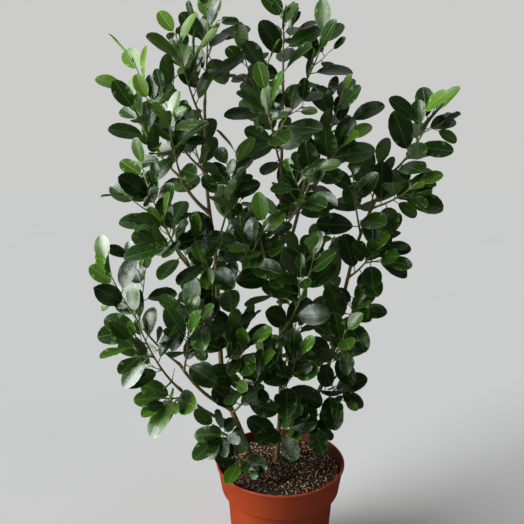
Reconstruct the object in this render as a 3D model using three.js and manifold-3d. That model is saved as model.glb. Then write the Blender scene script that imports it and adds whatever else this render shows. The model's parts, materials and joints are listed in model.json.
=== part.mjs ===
// Potted laurel fig: three slender stems from one root, trained as a loose flat fan.
// Millimetres, +Z up, +X to the right of the plant's face, +Y to its back.
// The origin is the centre of the pot's flat underside.

import * as THREE from 'three';
import { mergeVertices } from 'three/addons/utils/BufferGeometryUtils.js';
import Module from 'manifold-3d';

const wasm = await Module();
wasm.setup();

// Pot: a 21 cm plastic nursery pot with a collar over a tapered body
const POT_HEIGHT = 185;
const POT_WALL = 2;
const POT_FLOOR = 3;
const POT_SIDES = 32;
const RIM_RADIUS = 105;
const LIP_HEIGHT = 3;
const LIP_DEPTH = 2;
const COLLAR_HEIGHT = 45;
const COLLAR_FOOT_RADIUS = 96;
const LEDGE_DROP = 5;
const BODY_TOP_RADIUS = 87;
const BODY_FOOT_RADIUS = 76;
const FOOT_CHAMFER = 2;

// Potting mix: level round the stems, falling a little towards the pot's wall
const SOIL_TOP = 172;
const SOIL_EDGE = 168;
const SOIL_FLAT_RADIUS = 62;

// Spaces between neighbouring pieces
const SEAT_GAP = 0.3;
const LEAF_CLEARANCE = 1;
const SISTER_CLEARANCE = 0.4;
const MERGE_DISTANCE = 1e-3;
const LEAST_AXIS = 1e-6;

// Limbs
const STEM_SIDES = 8;
const BOUGH_SIDES = 6;
const TWIG_SIDES = 3;
const STEM_STEP = 45;
const BOUGH_STEP = 26;
const TWIG_STEP = 34;
const ROOT_FLARE = 0.55;
const FLARE_REACH = 16;
const FOOT_OVERRUN = 10;
const NEARLY_PARALLEL = 0.2;
const LIMB_STEPS_LEAST = 3;
const SHOOT_SWING = 0.6;
const SHOOT_LIFT = 0.32;
const SHOOT_BASE_RADIUS = 1.9;
const SHOOT_TIP_RADIUS = 0.8;
const SIDE_TWIG_BASE_RADIUS = 1.3;
const SIDE_TWIG_TIP_RADIUS = 0.7;
const TWIG_LEAN = THREE.MathUtils.degToRad(48);
const TWIG_RISE = 0.25;
const TWIG_SHARE = 0.36;
const TWIG_LENGTH_MOST = 58;
const TWIG_WANDER = 0.08;
const TWIG_SPREAD = [0.85, 1.1];
const TWIG_SWING = 0.5;
const TWIG_TRIES = 8;
const TWIG_LEAVES = 4;

// Leaves: blunt ovals on short stalks, set in a spiral
const LEAF_LENGTH = 52;
const LEAF_SPREAD = 0.16;
const LEAF_SLIMNESS = 0.72;
const LEAF_STALK = 10;
const STALK_HALF_WIDTH = 1.1;
const STALK_DEPTH = 1.76;
const LEAF_CENTRE_LIFT = -0.5;
const LEAF_FOLD = 0.12;
const LEAF_RECURVE = 0.06;
const SPIRAL_ANGLE = THREE.MathUtils.degToRad(137.5);
const BARE_START = 18;
const ROOT_SINK = 3;
const LEAN_AT_BASE = THREE.MathUtils.degToRad(64);
const LEAN_AT_TIP = THREE.MathUtils.degToRad(30);
const LEAN_SPREAD = 0.2;
const BLADE_DROOP = [-0.25, 0.1];
const TIP_SHRINK = 0.3;
const LEAF_TRIES = 9;
const TRY_TURN = THREE.MathUtils.degToRad(12);
const TRY_SHRINK = 0.035;
const FIRST_SEED = 20417;
const SOIL_CLEARANCE = 4;
const UP = new THREE.Vector3(0, 0, 1);

// Blades turn their faces up, out of the fan to its front or back, and towards the light at the left
const FACE_UP = 0.45;
const FACE_OUT = [0.35, 1.1];
const FACE_LEFT = 0.3;
const FACE_ALONG = 0.15;
const BACK_SHOOT = 30;

// Stems: foot and tip radius, and the few points that each one bends through
const STEMS = [
  {
    name: 'stem_left', footRadius: 5, tipRadius: 2.2,
    bends: [[-37, -8], [-66, 4, 233], [-90, 10, 296], [-99, 12, 392], [-103, 14, 514],
      [-115, 16, 624], [-117, 18, 752]],
  },
  {
    name: 'stem_middle', footRadius: 3.6, tipRadius: 2.1,
    bends: [[-5, 16], [1, 20, 295], [0, 22, 420], [-1, 24, 560], [1, 24, 690], [2, 24, 771]],
  },
  {
    name: 'stem_right', footRadius: 4, tipRadius: 2.2,
    bends: [[23, 36], [51, 32, 254], [74, 30, 310], [87, 28, 365], [98, 26, 430],
      [119, 20, 532], [138, 12, 590], [166, 6, 648]],
  },
];

// Boughs: the limb each starts from, the height there, and how far its tip lies
// to the right, to the back and above that start
const BOUGHS = [
  { name: 'bough_left_low', from: 'stem_left', height: 268, reach: [-76, -38, 90] },
  { name: 'bough_left_second', from: 'stem_left', height: 243, reach: [-84, -50, 80] },
  { name: 'bough_left_middle', from: 'stem_left', height: 444, reach: [-44, -30, 74] },
  { name: 'bough_left_upper', from: 'stem_left', height: 589, reach: [-42, -16, 54] },
  { name: 'bough_middle_right', from: 'stem_middle', height: 505, reach: [40, -12, 150] },
];
const BOUGH_BASE_RADIUS = 3;
const BOUGH_TIP_RADIUS = 2.4;

// Masses of foliage: each is one leafy shoot, given like the boughs, with its
// number of leaves along the stem and of side twigs
const MASSES = [
  { name: 'low_outer', from: 'bough_left_low', reach: [-100, -20, 158], leaves: 12, twigs: 1 },
  { name: 'low_inner', from: 'bough_left_low', along: 0.9, reach: [16, -44, 88], leaves: 7, twigs: 1 },
  { name: 'second_outer', from: 'bough_left_second', reach: [-58, -28, 124], leaves: 10, twigs: 1 },
  { name: 'second_low', from: 'bough_left_second', along: 0.88, reach: [-24, -40, 14], leaves: 6, twigs: 0 },
  { name: 'left_foot', from: 'stem_left', height: 218, reach: [-42, -44, 44], leaves: 6, twigs: 0 },
  { name: 'left_root', from: 'stem_left', height: 196, reach: [-16, -44, 8], leaves: 4, twigs: 0 },
  { name: 'mid_outer', from: 'bough_left_middle', reach: [-58, -20, 140], leaves: 10, twigs: 1 },
  { name: 'mid_inner', from: 'bough_left_middle', along: 0.88, reach: [-26, -62, 76], leaves: 8, twigs: 1 },
  { name: 'left_cluster', from: 'stem_left', height: 398, reach: [-52, -66, 58], leaves: 8, twigs: 1 },
  { name: 'upper_outer', from: 'bough_left_upper', reach: [-72, -16, 122], leaves: 10, twigs: 1 },
  { name: 'upper_inner', from: 'bough_left_upper', along: 0.85, reach: [-10, -56, 84], leaves: 8, twigs: 0 },
  { name: 'left_high', from: 'stem_left', height: 650, reach: [-98, -36, 158], leaves: 11, twigs: 1 },
  { name: 'left_top', from: 'stem_left', height: 722, reach: [-34, -44, 118], leaves: 8, twigs: 1 },
  { name: 'left_leader', from: 'stem_left', reach: [8, -8, 134], leaves: 9, twigs: 1 },
  { name: 'left_inner_high', from: 'stem_left', height: 534, reach: [40, -54, 142], leaves: 9, twigs: 1 },
  { name: 'left_inner_mid', from: 'stem_left', height: 452, reach: [74, -70, 124], leaves: 9, twigs: 1 },
  { name: 'left_inner_low', from: 'stem_left', height: 340, reach: [46, -70, 66], leaves: 8, twigs: 1 },
  { name: 'left_inner_foot', from: 'stem_left', height: 262, reach: [44, -64, 104], leaves: 8, twigs: 1 },
  { name: 'left_front', from: 'stem_left', height: 492, reach: [-22, -84, 60], leaves: 8, twigs: 0 },
  { name: 'middle_leader', from: 'stem_middle', reach: [0, -6, 104], leaves: 9, twigs: 0 },
  { name: 'middle_top_right', from: 'stem_middle', height: 738, reach: [60, -26, 108], leaves: 9, twigs: 0 },
  { name: 'middle_top_left', from: 'stem_middle', height: 696, reach: [-58, 4, 130], leaves: 9, twigs: 1 },
  { name: 'centre_high', from: 'stem_middle', height: 660, reach: [-24, -78, 96], leaves: 8, twigs: 1 },
  { name: 'fork_outer', from: 'bough_middle_right', reach: [50, -12, 112], leaves: 9, twigs: 1 },
  { name: 'fork_inner', from: 'bough_middle_right', along: 0.92, reach: [52, -46, 52], leaves: 8, twigs: 0 },
  { name: 'centre_right', from: 'stem_middle', height: 560, reach: [44, -90, 92], leaves: 8, twigs: 1 },
  { name: 'centre_mid', from: 'stem_middle', height: 392, reach: [46, -90, 150], leaves: 10, twigs: 1 },
  { name: 'centre_left', from: 'stem_middle', height: 464, reach: [-36, -88, 112], leaves: 9, twigs: 1 },
  { name: 'centre_low', from: 'stem_middle', height: 296, reach: [20, -92, 92], leaves: 9, twigs: 1 },
  { name: 'middle_foot', from: 'stem_middle', height: 212, reach: [8, -66, 66], leaves: 7, twigs: 0 },
  { name: 'right_outer', from: 'stem_right', reach: [58, -16, 96], leaves: 10, twigs: 1 },
  { name: 'right_front', from: 'stem_right', height: 596, reach: [48, -58, 36], leaves: 8, twigs: 0 },
  { name: 'right_high', from: 'stem_right', height: 556, reach: [-24, -56, 84], leaves: 8, twigs: 0 },
  { name: 'right_side', from: 'stem_right', height: 484, reach: [38, -46, 66], leaves: 8, twigs: 1 },
  { name: 'right_lower', from: 'stem_right', height: 404, reach: [26, -46, 46], leaves: 7, twigs: 0 },
  { name: 'right_inner', from: 'stem_right', height: 348, reach: [10, -76, 66], leaves: 8, twigs: 0 },
  { name: 'right_low', from: 'stem_right', height: 290, reach: [28, -54, 24], leaves: 6, twigs: 0 },
  { name: 'right_foot', from: 'stem_right', height: 230, reach: [22, -42, 24], leaves: 5, twigs: 0 },
];

// Masses behind the stems, spaced evenly up each stem by a loop
const BACK_MASSES = [
  { name: 'back_left', from: 'stem_left', heights: [300, 640], count: 4, leaves: 8 },
  { name: 'back_middle', from: 'stem_middle', heights: [320, 690], count: 4, leaves: 8 },
  { name: 'back_right', from: 'stem_right', heights: [310, 580], count: 3, leaves: 8 },
];
const BACK_REACH = 82;
const BACK_SWING = 34;
const BACK_RISE = 92;

// Colours
const TERRACOTTA = new THREE.MeshStandardMaterial({ color: 0xb5502e, roughness: 0.5, metalness: 0 });
const PEAT = new THREE.MeshStandardMaterial({ color: 0x3b2a20, roughness: 1, metalness: 0 });
const BARK = new THREE.MeshStandardMaterial({ color: 0x8a6a4a, roughness: 0.85, metalness: 0 });
const GREEN_BARK = new THREE.MeshStandardMaterial({ color: 0x6f7448, roughness: 0.7, metalness: 0 });
const LEAF_GREEN = new THREE.MeshStandardMaterial({ color: 0x1f4a26, roughness: 0.35, metalness: 0 });

// Seeded random numbers, the same on every run
function seededRandom(seed) {
  let state = seed;
  return () => {
    state = (state * 48271) % 2147483647;
    return state / 2147483647;
  };
}

function between(random, low, high) {
  return low + (high - low) * random();
}

// Closed solids from three.js geometry, for joining and cutting
function solidFrom(geometry) {
  const plain = geometry.clone();
  plain.deleteAttribute('normal');
  plain.deleteAttribute('uv');
  const merged = mergeVertices(plain, MERGE_DISTANCE);
  return new wasm.Manifold(new wasm.Mesh({
    numProp: 3,
    vertProperties: new Float32Array(merged.attributes.position.array),
    triVerts: new Uint32Array(merged.index.array),
  }));
}

function geometryFrom(solid) {
  const mesh = solid.getMesh();
  const geometry = new THREE.BufferGeometry();
  geometry.setAttribute('position', new THREE.BufferAttribute(mesh.vertProperties, 3));
  geometry.setIndex(new THREE.BufferAttribute(mesh.triVerts, 1));
  geometry.computeVertexNormals();
  return geometry;
}

// The largest closed body of a solid: loose scraps and sealed hollows are left out
function largestBody(solid) {
  return solid.decompose().reduce((best, body) => (body.volume() > best.volume() ? body : best));
}

// The same, taken again once corners that nearly touch are merged
function mainBody(solid) {
  return largestBody(solidFrom(geometryFrom(largestBody(solid))));
}

// Limbs: a curve with a radius along it, made as a cylinder bent onto the curve
class Limb {
  constructor(name, curve, radiusAt, sides, step) {
    this.name = name;
    this.curve = curve;
    this.radiusAt = radiusAt;
    this.sides = sides;
    this.steps = Math.max(LIMB_STEPS_LEAST, Math.round(curve.getLength() / step));
    this.parts = this.makeParts();
  }

  // Two directions across the limb that turn as little as possible along it
  frameAt(t) {
    const along = this.curve.getTangentAt(t);
    const side = new THREE.Vector3(0, 1, 0).cross(along);
    if (side.length() < NEARLY_PARALLEL) {
      side.set(1, 0, 0).cross(along);
    }
    side.normalize();
    return { along, side, back: along.clone().cross(side) };
  }

  ringAt(t) {
    const centre = this.curve.getPointAt(t);
    const { side, back } = this.frameAt(t);
    const radius = this.radiusAt(t);
    return Array.from({ length: this.sides }, (unused, k) => {
      const turn = (2 * Math.PI * k) / this.sides;
      return centre.clone()
        .addScaledVector(side, radius * Math.cos(turn))
        .addScaledVector(back, radius * Math.sin(turn));
    });
  }

  makeParts() {
    const parts = [];
    for (let k = 0; k < this.steps; k += 1) {
      const low = this.ringAt(k / this.steps);
      const high = this.ringAt((k + 1) / this.steps);
      parts.push(new Hull([...low, ...high], limbAxes(low, high), limbEdges(low, high)));
    }
    return parts;
  }

  // grow widens the limb all round and past both ends, to cut a seat in a neighbour
  geometry(grow = 0) {
    const spread = grow / Math.cos(Math.PI / this.sides);
    const tube = new THREE.CylinderGeometry(1, 1, 1, this.sides, this.steps);
    const place = tube.attributes.position;
    for (let k = 0; k < place.count; k += 1) {
      const t = Math.min(1, Math.max(0, place.getY(k) + 0.5));
      const { along, side, back } = this.frameAt(t);
      const radius = this.radiusAt(t) + spread;
      const end = grow * (Number(t === 1) - Number(t === 0));
      const point = this.curve.getPointAt(t)
        .addScaledVector(back, radius * place.getX(k))
        .addScaledVector(side, radius * place.getZ(k))
        .addScaledVector(along, end);
      place.setXYZ(k, point.x, point.y, point.z);
    }
    return tube;
  }
}

// Convex pieces, and the test that two of them keep a clearance
class Hull {
  constructor(points, axes, edges) {
    this.points = points;
    this.axes = axes;
    this.edges = edges;
    this.centre = points.reduce((sum, p) => sum.add(p), new THREE.Vector3())
      .multiplyScalar(1 / points.length);
    this.radius = Math.max(...points.map((p) => p.distanceTo(this.centre)));
  }

  rangeAlong(axis) {
    let low = Infinity;
    let high = -Infinity;
    for (const point of this.points) {
      const reach = point.dot(axis);
      low = Math.min(low, reach);
      high = Math.max(high, reach);
    }
    return [low, high];
  }

  // True where some direction is found along which the two lie apart
  isClearOf(other, gap) {
    const apart = other.centre.clone().sub(this.centre);
    if (apart.length() > this.radius + other.radius + gap) {
      return true;
    }
    const crossed = this.edges.flatMap((a) => other.edges.map((b) => a.clone().cross(b)));
    for (const axis of [apart, ...this.axes, ...other.axes, ...crossed]) {
      const length = axis.length();
      if (length > LEAST_AXIS) {
        const [low, high] = this.rangeAlong(axis);
        const [otherLow, otherHigh] = other.rangeAlong(axis);
        if (Math.max(otherLow - high, low - otherHigh) >= gap * length) {
          return true;
        }
      }
    }
    return false;
  }
}

function limbAxes(low, high) {
  return low.map((point, k) => {
    const next = low[(k + 1) % low.length];
    return next.clone().sub(point).cross(high[k].clone().sub(point)).normalize();
  });
}

function limbEdges(low, high) {
  return [high[0].clone().sub(low[0]).normalize(), low[1].clone().sub(low[0]).normalize()];
}

// Leaf blades: half outlines as shares of length along and of width across
const BLADE_OUTLINE = [[0.32, 0.45], [0.74, 0.44]];
const BLADE_CENTRE = 0.5;
const FOLD_SLANT = 0.2;

class Leaf {
  constructor(root, stalkWay, bladeWay, facing, length, stalk) {
    const across = facing.clone().cross(bladeWay).normalize();
    const normal = bladeWay.clone().cross(across).normalize();
    const width = length * LEAF_SLIMNESS;
    const neck = root.clone().addScaledVector(stalkWay, stalk);
    const at = (along, side, lift) => neck.clone()
      .addScaledVector(bladeWay, along * length)
      .addScaledVector(across, side * width)
      .addScaledVector(normal, lift + LEAF_FOLD * Math.abs(side) * width
        - LEAF_RECURVE * along * along * length);
    const sideNeck = STALK_HALF_WIDTH / width;
    const left = BLADE_OUTLINE.map(([along, side]) => at(along, side, 0));
    const right = BLADE_OUTLINE.map(([along, side]) => at(along, -side, 0));
    const tip = at(1, 0, 0);
    this.corners = [
      root.clone(), at(0, sideNeck, 0), at(0, -sideNeck, 0), at(0, 0, -STALK_DEPTH),
      left[0], left[1], tip, right[1], right[0],
      at(BLADE_CENTRE, 0, LEAF_CENTRE_LIFT),
    ];
    const slant = across.clone().multiplyScalar(FOLD_SLANT);
    const axes = [normal, left[0].clone().sub(neck).cross(normal), right[0].clone().sub(neck).cross(normal),
      tip.clone().sub(left[1]).cross(normal), tip.clone().sub(right[1]).cross(normal),
      normal.clone().add(slant), normal.clone().sub(slant)];
    const edges = [bladeWay, across, left[0].clone().sub(neck), right[0].clone().sub(neck),
      tip.clone().sub(left[1]), tip.clone().sub(right[1])];
    this.blade = new Hull(this.corners.slice(1), axes, edges);
    this.whole = new Hull(this.corners, [...axes, stalkWay.clone().cross(across)], [...edges, stalkWay]);
  }

  geometry() {
    const [root, neckLeft, neckRight, neckUnder, centre] = [0, 1, 2, 3, 9];
    const rim = [neckLeft, 4, 5, 6, 7, 8, neckRight];
    const faces = [root, neckRight, neckLeft, root, neckUnder, neckRight, root, neckLeft, neckUnder];
    rim.forEach((corner, k) => {
      const next = rim[(k + 1) % rim.length];
      faces.push(centre, next, corner);
      if (next !== neckLeft) {
        faces.push(neckUnder, corner, next);
      }
    });
    const geometry = new THREE.BufferGeometry().setFromPoints(this.corners);
    geometry.setIndex(faces);
    return geometry;
  }
}

const HALVINGS = 30;

// Where a limb or mass starts: at a height on a stem, a share along a bough, or at the tip
function shareAlong(limb, { height, along }) {
  if (height === undefined) {
    return along ?? 1;
  }
  let low = 0;
  let high = 1;
  for (let k = 0; k < HALVINGS; k += 1) {
    const middle = (low + high) / 2;
    if (limb.curve.getPointAt(middle).z < height) {
      low = middle;
    } else {
      high = middle;
    }
  }
  return low;
}

// A limb that leaves its parent widely and then rises
function risingCurve(start, [right, back, rise], swing, lift) {
  return new THREE.QuadraticBezierCurve3(
    start,
    new THREE.Vector3(swing * right, swing * back, lift * rise).add(start),
    new THREE.Vector3(right, back, rise).add(start),
  );
}

function taper(base, tip) {
  return (t) => base + (tip - base) * t;
}

function makeStem({ name, footRadius, tipRadius, bends }) {
  const points = bends.map(([x, y, z = SOIL_TOP - FOOT_OVERRUN]) => new THREE.Vector3(x, y, z));
  const curve = new THREE.CatmullRomCurve3(points, false, 'centripetal');
  const length = curve.getLength();
  const slope = taper(footRadius, tipRadius);
  const flare = (t) => ROOT_FLARE * footRadius * Math.exp((-t * length) / FLARE_REACH);
  return new Limb(name, curve, (t) => slope(t) + flare(t), STEM_SIDES, STEM_STEP);
}

function makeBough(plan, parent) {
  const start = parent.curve.getPointAt(shareAlong(parent, plan));
  const curve = risingCurve(start, plan.reach, SHOOT_SWING, SHOOT_LIFT);
  return new Limb(plan.name, curve, taper(BOUGH_BASE_RADIUS, BOUGH_TIP_RADIUS), BOUGH_SIDES, BOUGH_STEP);
}

// A stem's solid, cut flat just above the soil
function stemSolid(stem) {
  const soil = new THREE.BoxGeometry(2 * RIM_RADIUS, 2 * RIM_RADIUS, POT_HEIGHT)
    .translate(0, 0, SOIL_TOP + SEAT_GAP - POT_HEIGHT / 2);
  return mainBody(solidFrom(stem.geometry()).subtract(solidFrom(soil)));
}

// A limb's solid, cut to its seat against its parent
function seatedSolid(limb, parent) {
  return mainBody(solidFrom(limb.geometry()).subtract(solidFrom(parent.geometry(SEAT_GAP))));
}

// Everything that a new twig or leaf has to keep clear of
class Crown {
  constructor() {
    this.limbs = [];
    this.leaves = [];
  }

  addLimb(limb, owner) {
    limb.parts.forEach((hull) => this.limbs.push({ hull, owner }));
  }

  addLeaf(leaf, owner) {
    this.leaves.push({ leaf, owner });
  }

  hasRoomForTwig(twig, owner) {
    return twig.parts.every((part) => staysAbovePot(part)
      && this.limbs.every((limb) => limb.owner === owner || part.isClearOf(limb.hull, LEAF_CLEARANCE)));
  }

  hasRoomForLeaf(leaf, owner) {
    return staysAbovePot(leaf.whole)
      && this.limbs.every(({ hull, owner: other }) => (other === owner
        ? leaf.blade.isClearOf(hull, SISTER_CLEARANCE) : leaf.whole.isClearOf(hull, LEAF_CLEARANCE)))
      && this.leaves.every(({ leaf: old, owner: other }) => (other === owner
        ? leaf.blade.isClearOf(old.blade, SISTER_CLEARANCE)
        : leaf.whole.isClearOf(old.whole, LEAF_CLEARANCE)));
  }
}

// True where a piece lies over the soil inside the rim, or above the rim
function staysAbovePot(hull) {
  return hull.points.every((p) => p.z > POT_HEIGHT + SOIL_CLEARANCE
    || (p.z > SOIL_TOP + SOIL_CLEARANCE && Math.hypot(p.x, p.y) < BODY_TOP_RADIUS));
}

// One mass of foliage: a shoot with side twigs, and leaves set in a spiral on each
class Mass {
  constructor(plan, parent, seed) {
    this.name = `foliage_${plan.name}`;
    this.plan = plan;
    this.parent = parent;
    this.random = seededRandom(seed);
    this.outward = plan.reach[1] > BACK_SHOOT ? 1 : -1;
    const start = parent.curve.getPointAt(shareAlong(parent, plan));
    const curve = risingCurve(start, plan.reach, SHOOT_SWING, SHOOT_LIFT);
    this.stem = new Limb(this.name, curve, taper(SHOOT_BASE_RADIUS, SHOOT_TIP_RADIUS), TWIG_SIDES, TWIG_STEP);
    this.twigs = [];
    this.leaves = [];
  }

  // A direction that leans off the limb at t, turned round it
  leaningWay(limb, t, turn, lean) {
    const { along, side, back } = limb.frameAt(t);
    return along.clone().multiplyScalar(Math.cos(lean))
      .addScaledVector(side, Math.cos(turn) * Math.sin(lean))
      .addScaledVector(back, Math.sin(turn) * Math.sin(lean));
  }

  growTwigs(crown) {
    const length = this.stem.curve.getLength();
    for (let k = 0; k < this.plan.twigs; k += 1) {
      const t = (k + 1) / (this.plan.twigs + 1) + between(this.random, -TWIG_WANDER, TWIG_WANDER);
      const firstTurn = between(this.random, 0, 2 * Math.PI);
      const reach = Math.min(TWIG_LENGTH_MOST, length * TWIG_SHARE) * between(this.random, ...TWIG_SPREAD);
      for (let attempt = 0; attempt < TWIG_TRIES; attempt += 1) {
        const way = this.leaningWay(this.stem, t, firstTurn + attempt * SPIRAL_ANGLE, TWIG_LEAN);
        const base = this.stem.curve.getPointAt(t);
        const tip = way.addScaledVector(UP, TWIG_RISE).multiplyScalar(reach).toArray();
        const curve = risingCurve(base, tip, TWIG_SWING, SHOOT_LIFT);
        const twig = new Limb(`${this.name}_twig`, curve,
          taper(SIDE_TWIG_BASE_RADIUS, SIDE_TWIG_TIP_RADIUS), TWIG_SIDES, TWIG_STEP);
        if (crown.hasRoomForTwig(twig, this.name)) {
          this.twigs.push(twig);
          crown.addLimb(twig, this.name);
          break;
        }
      }
    }
  }

  growLeaves(crown) {
    this.leafLimb(crown, this.stem, this.plan.leaves, BARE_START);
    this.twigs.forEach((twig) => this.leafLimb(crown, twig, TWIG_LEAVES, BARE_START / 2));
  }

  leafLimb(crown, limb, count, bare) {
    const length = limb.curve.getLength();
    const firstTurn = between(this.random, 0, 2 * Math.PI);
    for (let k = 0; k < count; k += 1) {
      const share = k / (count - 1);
      const t = (bare + (length - ROOT_SINK - bare) * share) / length;
      const leaf = this.findLeaf(crown, limb, t, share, firstTurn + k * SPIRAL_ANGLE);
      if (leaf) {
        this.leaves.push(leaf);
        crown.addLeaf(leaf, this.name);
      }
    }
  }

  // The first of a few turned and shrunk leaves that has room, or none
  findLeaf(crown, limb, t, share, turn) {
    const lean = LEAN_AT_BASE + (LEAN_AT_TIP - LEAN_AT_BASE) * share;
    const spread = between(this.random, 1 - LEAF_SPREAD, 1 + LEAF_SPREAD);
    const full = LEAF_LENGTH * (1 - TIP_SHRINK * share ** 3) * spread;
    for (let attempt = 0; attempt < LEAF_TRIES; attempt += 1) {
      const wander = attempt * TRY_TURN;
      const way = this.leaningWay(limb, t, turn + between(this.random, -wander, wander),
        lean + between(this.random, -LEAN_SPREAD, LEAN_SPREAD));
      const droop = between(this.random, ...BLADE_DROOP);
      const bladeWay = way.clone().addScaledVector(UP, droop).normalize();
      const out = this.outward * between(this.random, ...FACE_OUT);
      const facing = new THREE.Vector3(-FACE_LEFT, out, FACE_UP)
        .addScaledVector(limb.frameAt(t).along, FACE_ALONG);
      const length = full * (1 - TRY_SHRINK * attempt);
      const leaf = new Leaf(limb.curve.getPointAt(t), way, bladeWay, facing, length, LEAF_STALK);
      if (crown.hasRoomForLeaf(leaf, this.name)) {
        return leaf;
      }
    }
    return null;
  }

  solid() {
    const stem = seatedSolid(this.stem, this.parent);
    const pieces = [...this.twigs, ...this.leaves].map((piece) => solidFrom(piece.geometry()));
    return mainBody(pieces.reduce((whole, piece) => whole.add(piece), stem));
  }
}

// Plans for the masses behind the stems, in even steps up each one
function backPlans() {
  return BACK_MASSES.flatMap(({ name, from, heights: [low, high], count, leaves }) => (
    Array.from({ length: count }, (unused, k) => ({
      name: `${name}_${k + 1}`,
      from,
      height: low + ((high - low) * k) / (count - 1),
      reach: [k % 2 === 0 ? BACK_SWING : -BACK_SWING, BACK_REACH, BACK_RISE],
      leaves,
      twigs: 0,
    }))));
}

// The pot's wall, turned from one closed outline
function potGeometry() {
  const ledge = POT_HEIGHT - COLLAR_HEIGHT;
  const outline = [
    [0, 0], [BODY_FOOT_RADIUS - FOOT_CHAMFER, 0], [BODY_FOOT_RADIUS, FOOT_CHAMFER],
    [BODY_TOP_RADIUS, ledge - LEDGE_DROP], [COLLAR_FOOT_RADIUS, ledge],
    [RIM_RADIUS - LIP_DEPTH, POT_HEIGHT - LIP_HEIGHT], [RIM_RADIUS, POT_HEIGHT - LIP_HEIGHT],
    [RIM_RADIUS, POT_HEIGHT], [RIM_RADIUS - LIP_DEPTH - POT_WALL, POT_HEIGHT],
    [COLLAR_FOOT_RADIUS - POT_WALL, ledge + POT_WALL],
    [BODY_TOP_RADIUS - POT_WALL, ledge - LEDGE_DROP + POT_WALL],
    [BODY_FOOT_RADIUS - POT_WALL, POT_FLOOR], [0, POT_FLOOR],
  ];
  return latheGeometry(outline);
}

// Inner radius of the collar at a height
function collarInside(height) {
  const low = POT_HEIGHT - COLLAR_HEIGHT + POT_WALL;
  const lowRadius = COLLAR_FOOT_RADIUS - POT_WALL;
  const highRadius = RIM_RADIUS - LIP_DEPTH - POT_WALL;
  return lowRadius + ((highRadius - lowRadius) * (height - low)) / (POT_HEIGHT - low);
}

function soilGeometry() {
  const ledge = POT_HEIGHT - COLLAR_HEIGHT;
  const inset = POT_WALL + SEAT_GAP;
  const outline = [
    [0, POT_FLOOR], [BODY_FOOT_RADIUS - inset, POT_FLOOR],
    [BODY_TOP_RADIUS - inset, ledge - LEDGE_DROP + POT_WALL + SEAT_GAP],
    [COLLAR_FOOT_RADIUS - inset, ledge + POT_WALL + SEAT_GAP],
    [collarInside(SOIL_EDGE) - SEAT_GAP, SOIL_EDGE], [SOIL_FLAT_RADIUS, SOIL_TOP], [0, SOIL_TOP],
  ];
  return latheGeometry(outline);
}

// A turned solid that stands on +Z
function latheGeometry(outline) {
  const points = outline.map(([radius, height]) => new THREE.Vector2(radius, height));
  return new THREE.LatheGeometry(points, POT_SIDES).rotateX(Math.PI / 2);
}

function namedMesh(name, geometry, material) {
  const mesh = new THREE.Mesh(geometry, material);
  mesh.name = name;
  return mesh;
}

function makePlant() {
  const plant = new THREE.Group();
  plant.add(namedMesh('pot', geometryFrom(solidFrom(potGeometry())), TERRACOTTA));
  plant.add(namedMesh('potting_mix', geometryFrom(solidFrom(soilGeometry())), PEAT));

  const crown = new Crown();
  const limbs = new Map();
  const keep = (limb) => {
    limbs.set(limb.name, limb);
    crown.addLimb(limb, limb.name);
  };
  STEMS.forEach((plan) => keep(makeStem(plan)));
  STEMS.forEach(({ name }) => {
    plant.add(namedMesh(name, geometryFrom(stemSolid(limbs.get(name))), BARK));
  });
  BOUGHS.forEach((plan) => keep(makeBough(plan, limbs.get(plan.from))));
  BOUGHS.forEach(({ name, from }) => {
    plant.add(namedMesh(name, geometryFrom(seatedSolid(limbs.get(name), limbs.get(from))), GREEN_BARK));
  });

  const plans = [...MASSES, ...backPlans()];
  const masses = plans.map((plan, k) => new Mass(plan, limbs.get(plan.from), FIRST_SEED + k));
  masses.forEach((mass) => crown.addLimb(mass.stem, mass.name));
  masses.forEach((mass) => mass.growTwigs(crown));
  masses.forEach((mass) => mass.growLeaves(crown));
  masses.forEach((mass) => plant.add(namedMesh(mass.name, geometryFrom(mass.solid()), LEAF_GREEN)));
  return plant;
}

export default makePlant();
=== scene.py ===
"""Potted laurel fig: three slender stems in one pot, trained as a loose flat fan.

Sizes are in millimetres, and every mesh is made in metres, in the frame of the solids:
+Z up, +X to the right of the fan's face, +Y to its back, the origin under the pot.
The shoots and leaves grow by the same seeded rule as the solids, and then carry on
to finer twigs inside the same reach.
"""

import json
import logging
import math
from collections.abc import Iterable, Iterator, Sequence
from dataclasses import dataclass, field
from enum import Enum

import bmesh
import bpy
import numpy as np
from mathutils import Matrix, Vector

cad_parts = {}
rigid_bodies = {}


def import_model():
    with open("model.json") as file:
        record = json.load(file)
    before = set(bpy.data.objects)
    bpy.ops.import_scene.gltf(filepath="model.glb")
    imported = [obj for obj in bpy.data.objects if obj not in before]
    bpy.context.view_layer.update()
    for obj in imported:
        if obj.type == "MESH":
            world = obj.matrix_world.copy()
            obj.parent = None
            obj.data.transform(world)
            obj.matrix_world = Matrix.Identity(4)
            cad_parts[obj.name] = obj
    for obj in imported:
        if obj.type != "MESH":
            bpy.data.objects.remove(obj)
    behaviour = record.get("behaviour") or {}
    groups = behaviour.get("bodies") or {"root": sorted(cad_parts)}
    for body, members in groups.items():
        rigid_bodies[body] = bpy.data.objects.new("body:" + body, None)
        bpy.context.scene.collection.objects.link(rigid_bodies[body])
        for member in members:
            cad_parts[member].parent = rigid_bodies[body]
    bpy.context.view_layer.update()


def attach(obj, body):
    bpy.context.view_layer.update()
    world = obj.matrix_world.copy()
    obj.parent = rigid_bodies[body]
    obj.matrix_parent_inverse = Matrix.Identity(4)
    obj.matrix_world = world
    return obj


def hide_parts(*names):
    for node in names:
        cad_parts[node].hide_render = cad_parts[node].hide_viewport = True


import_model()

LOG = logging.getLogger("laurel_fig")
MM = 0.001
BODY = "root"
UP = np.array([0.0, 0.0, 1.0])
FULL_TURN = 2 * math.pi
SPIRAL_ANGLE = math.radians(137.5)
Array = np.ndarray
Colour = tuple[float, float, float, float]
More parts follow.
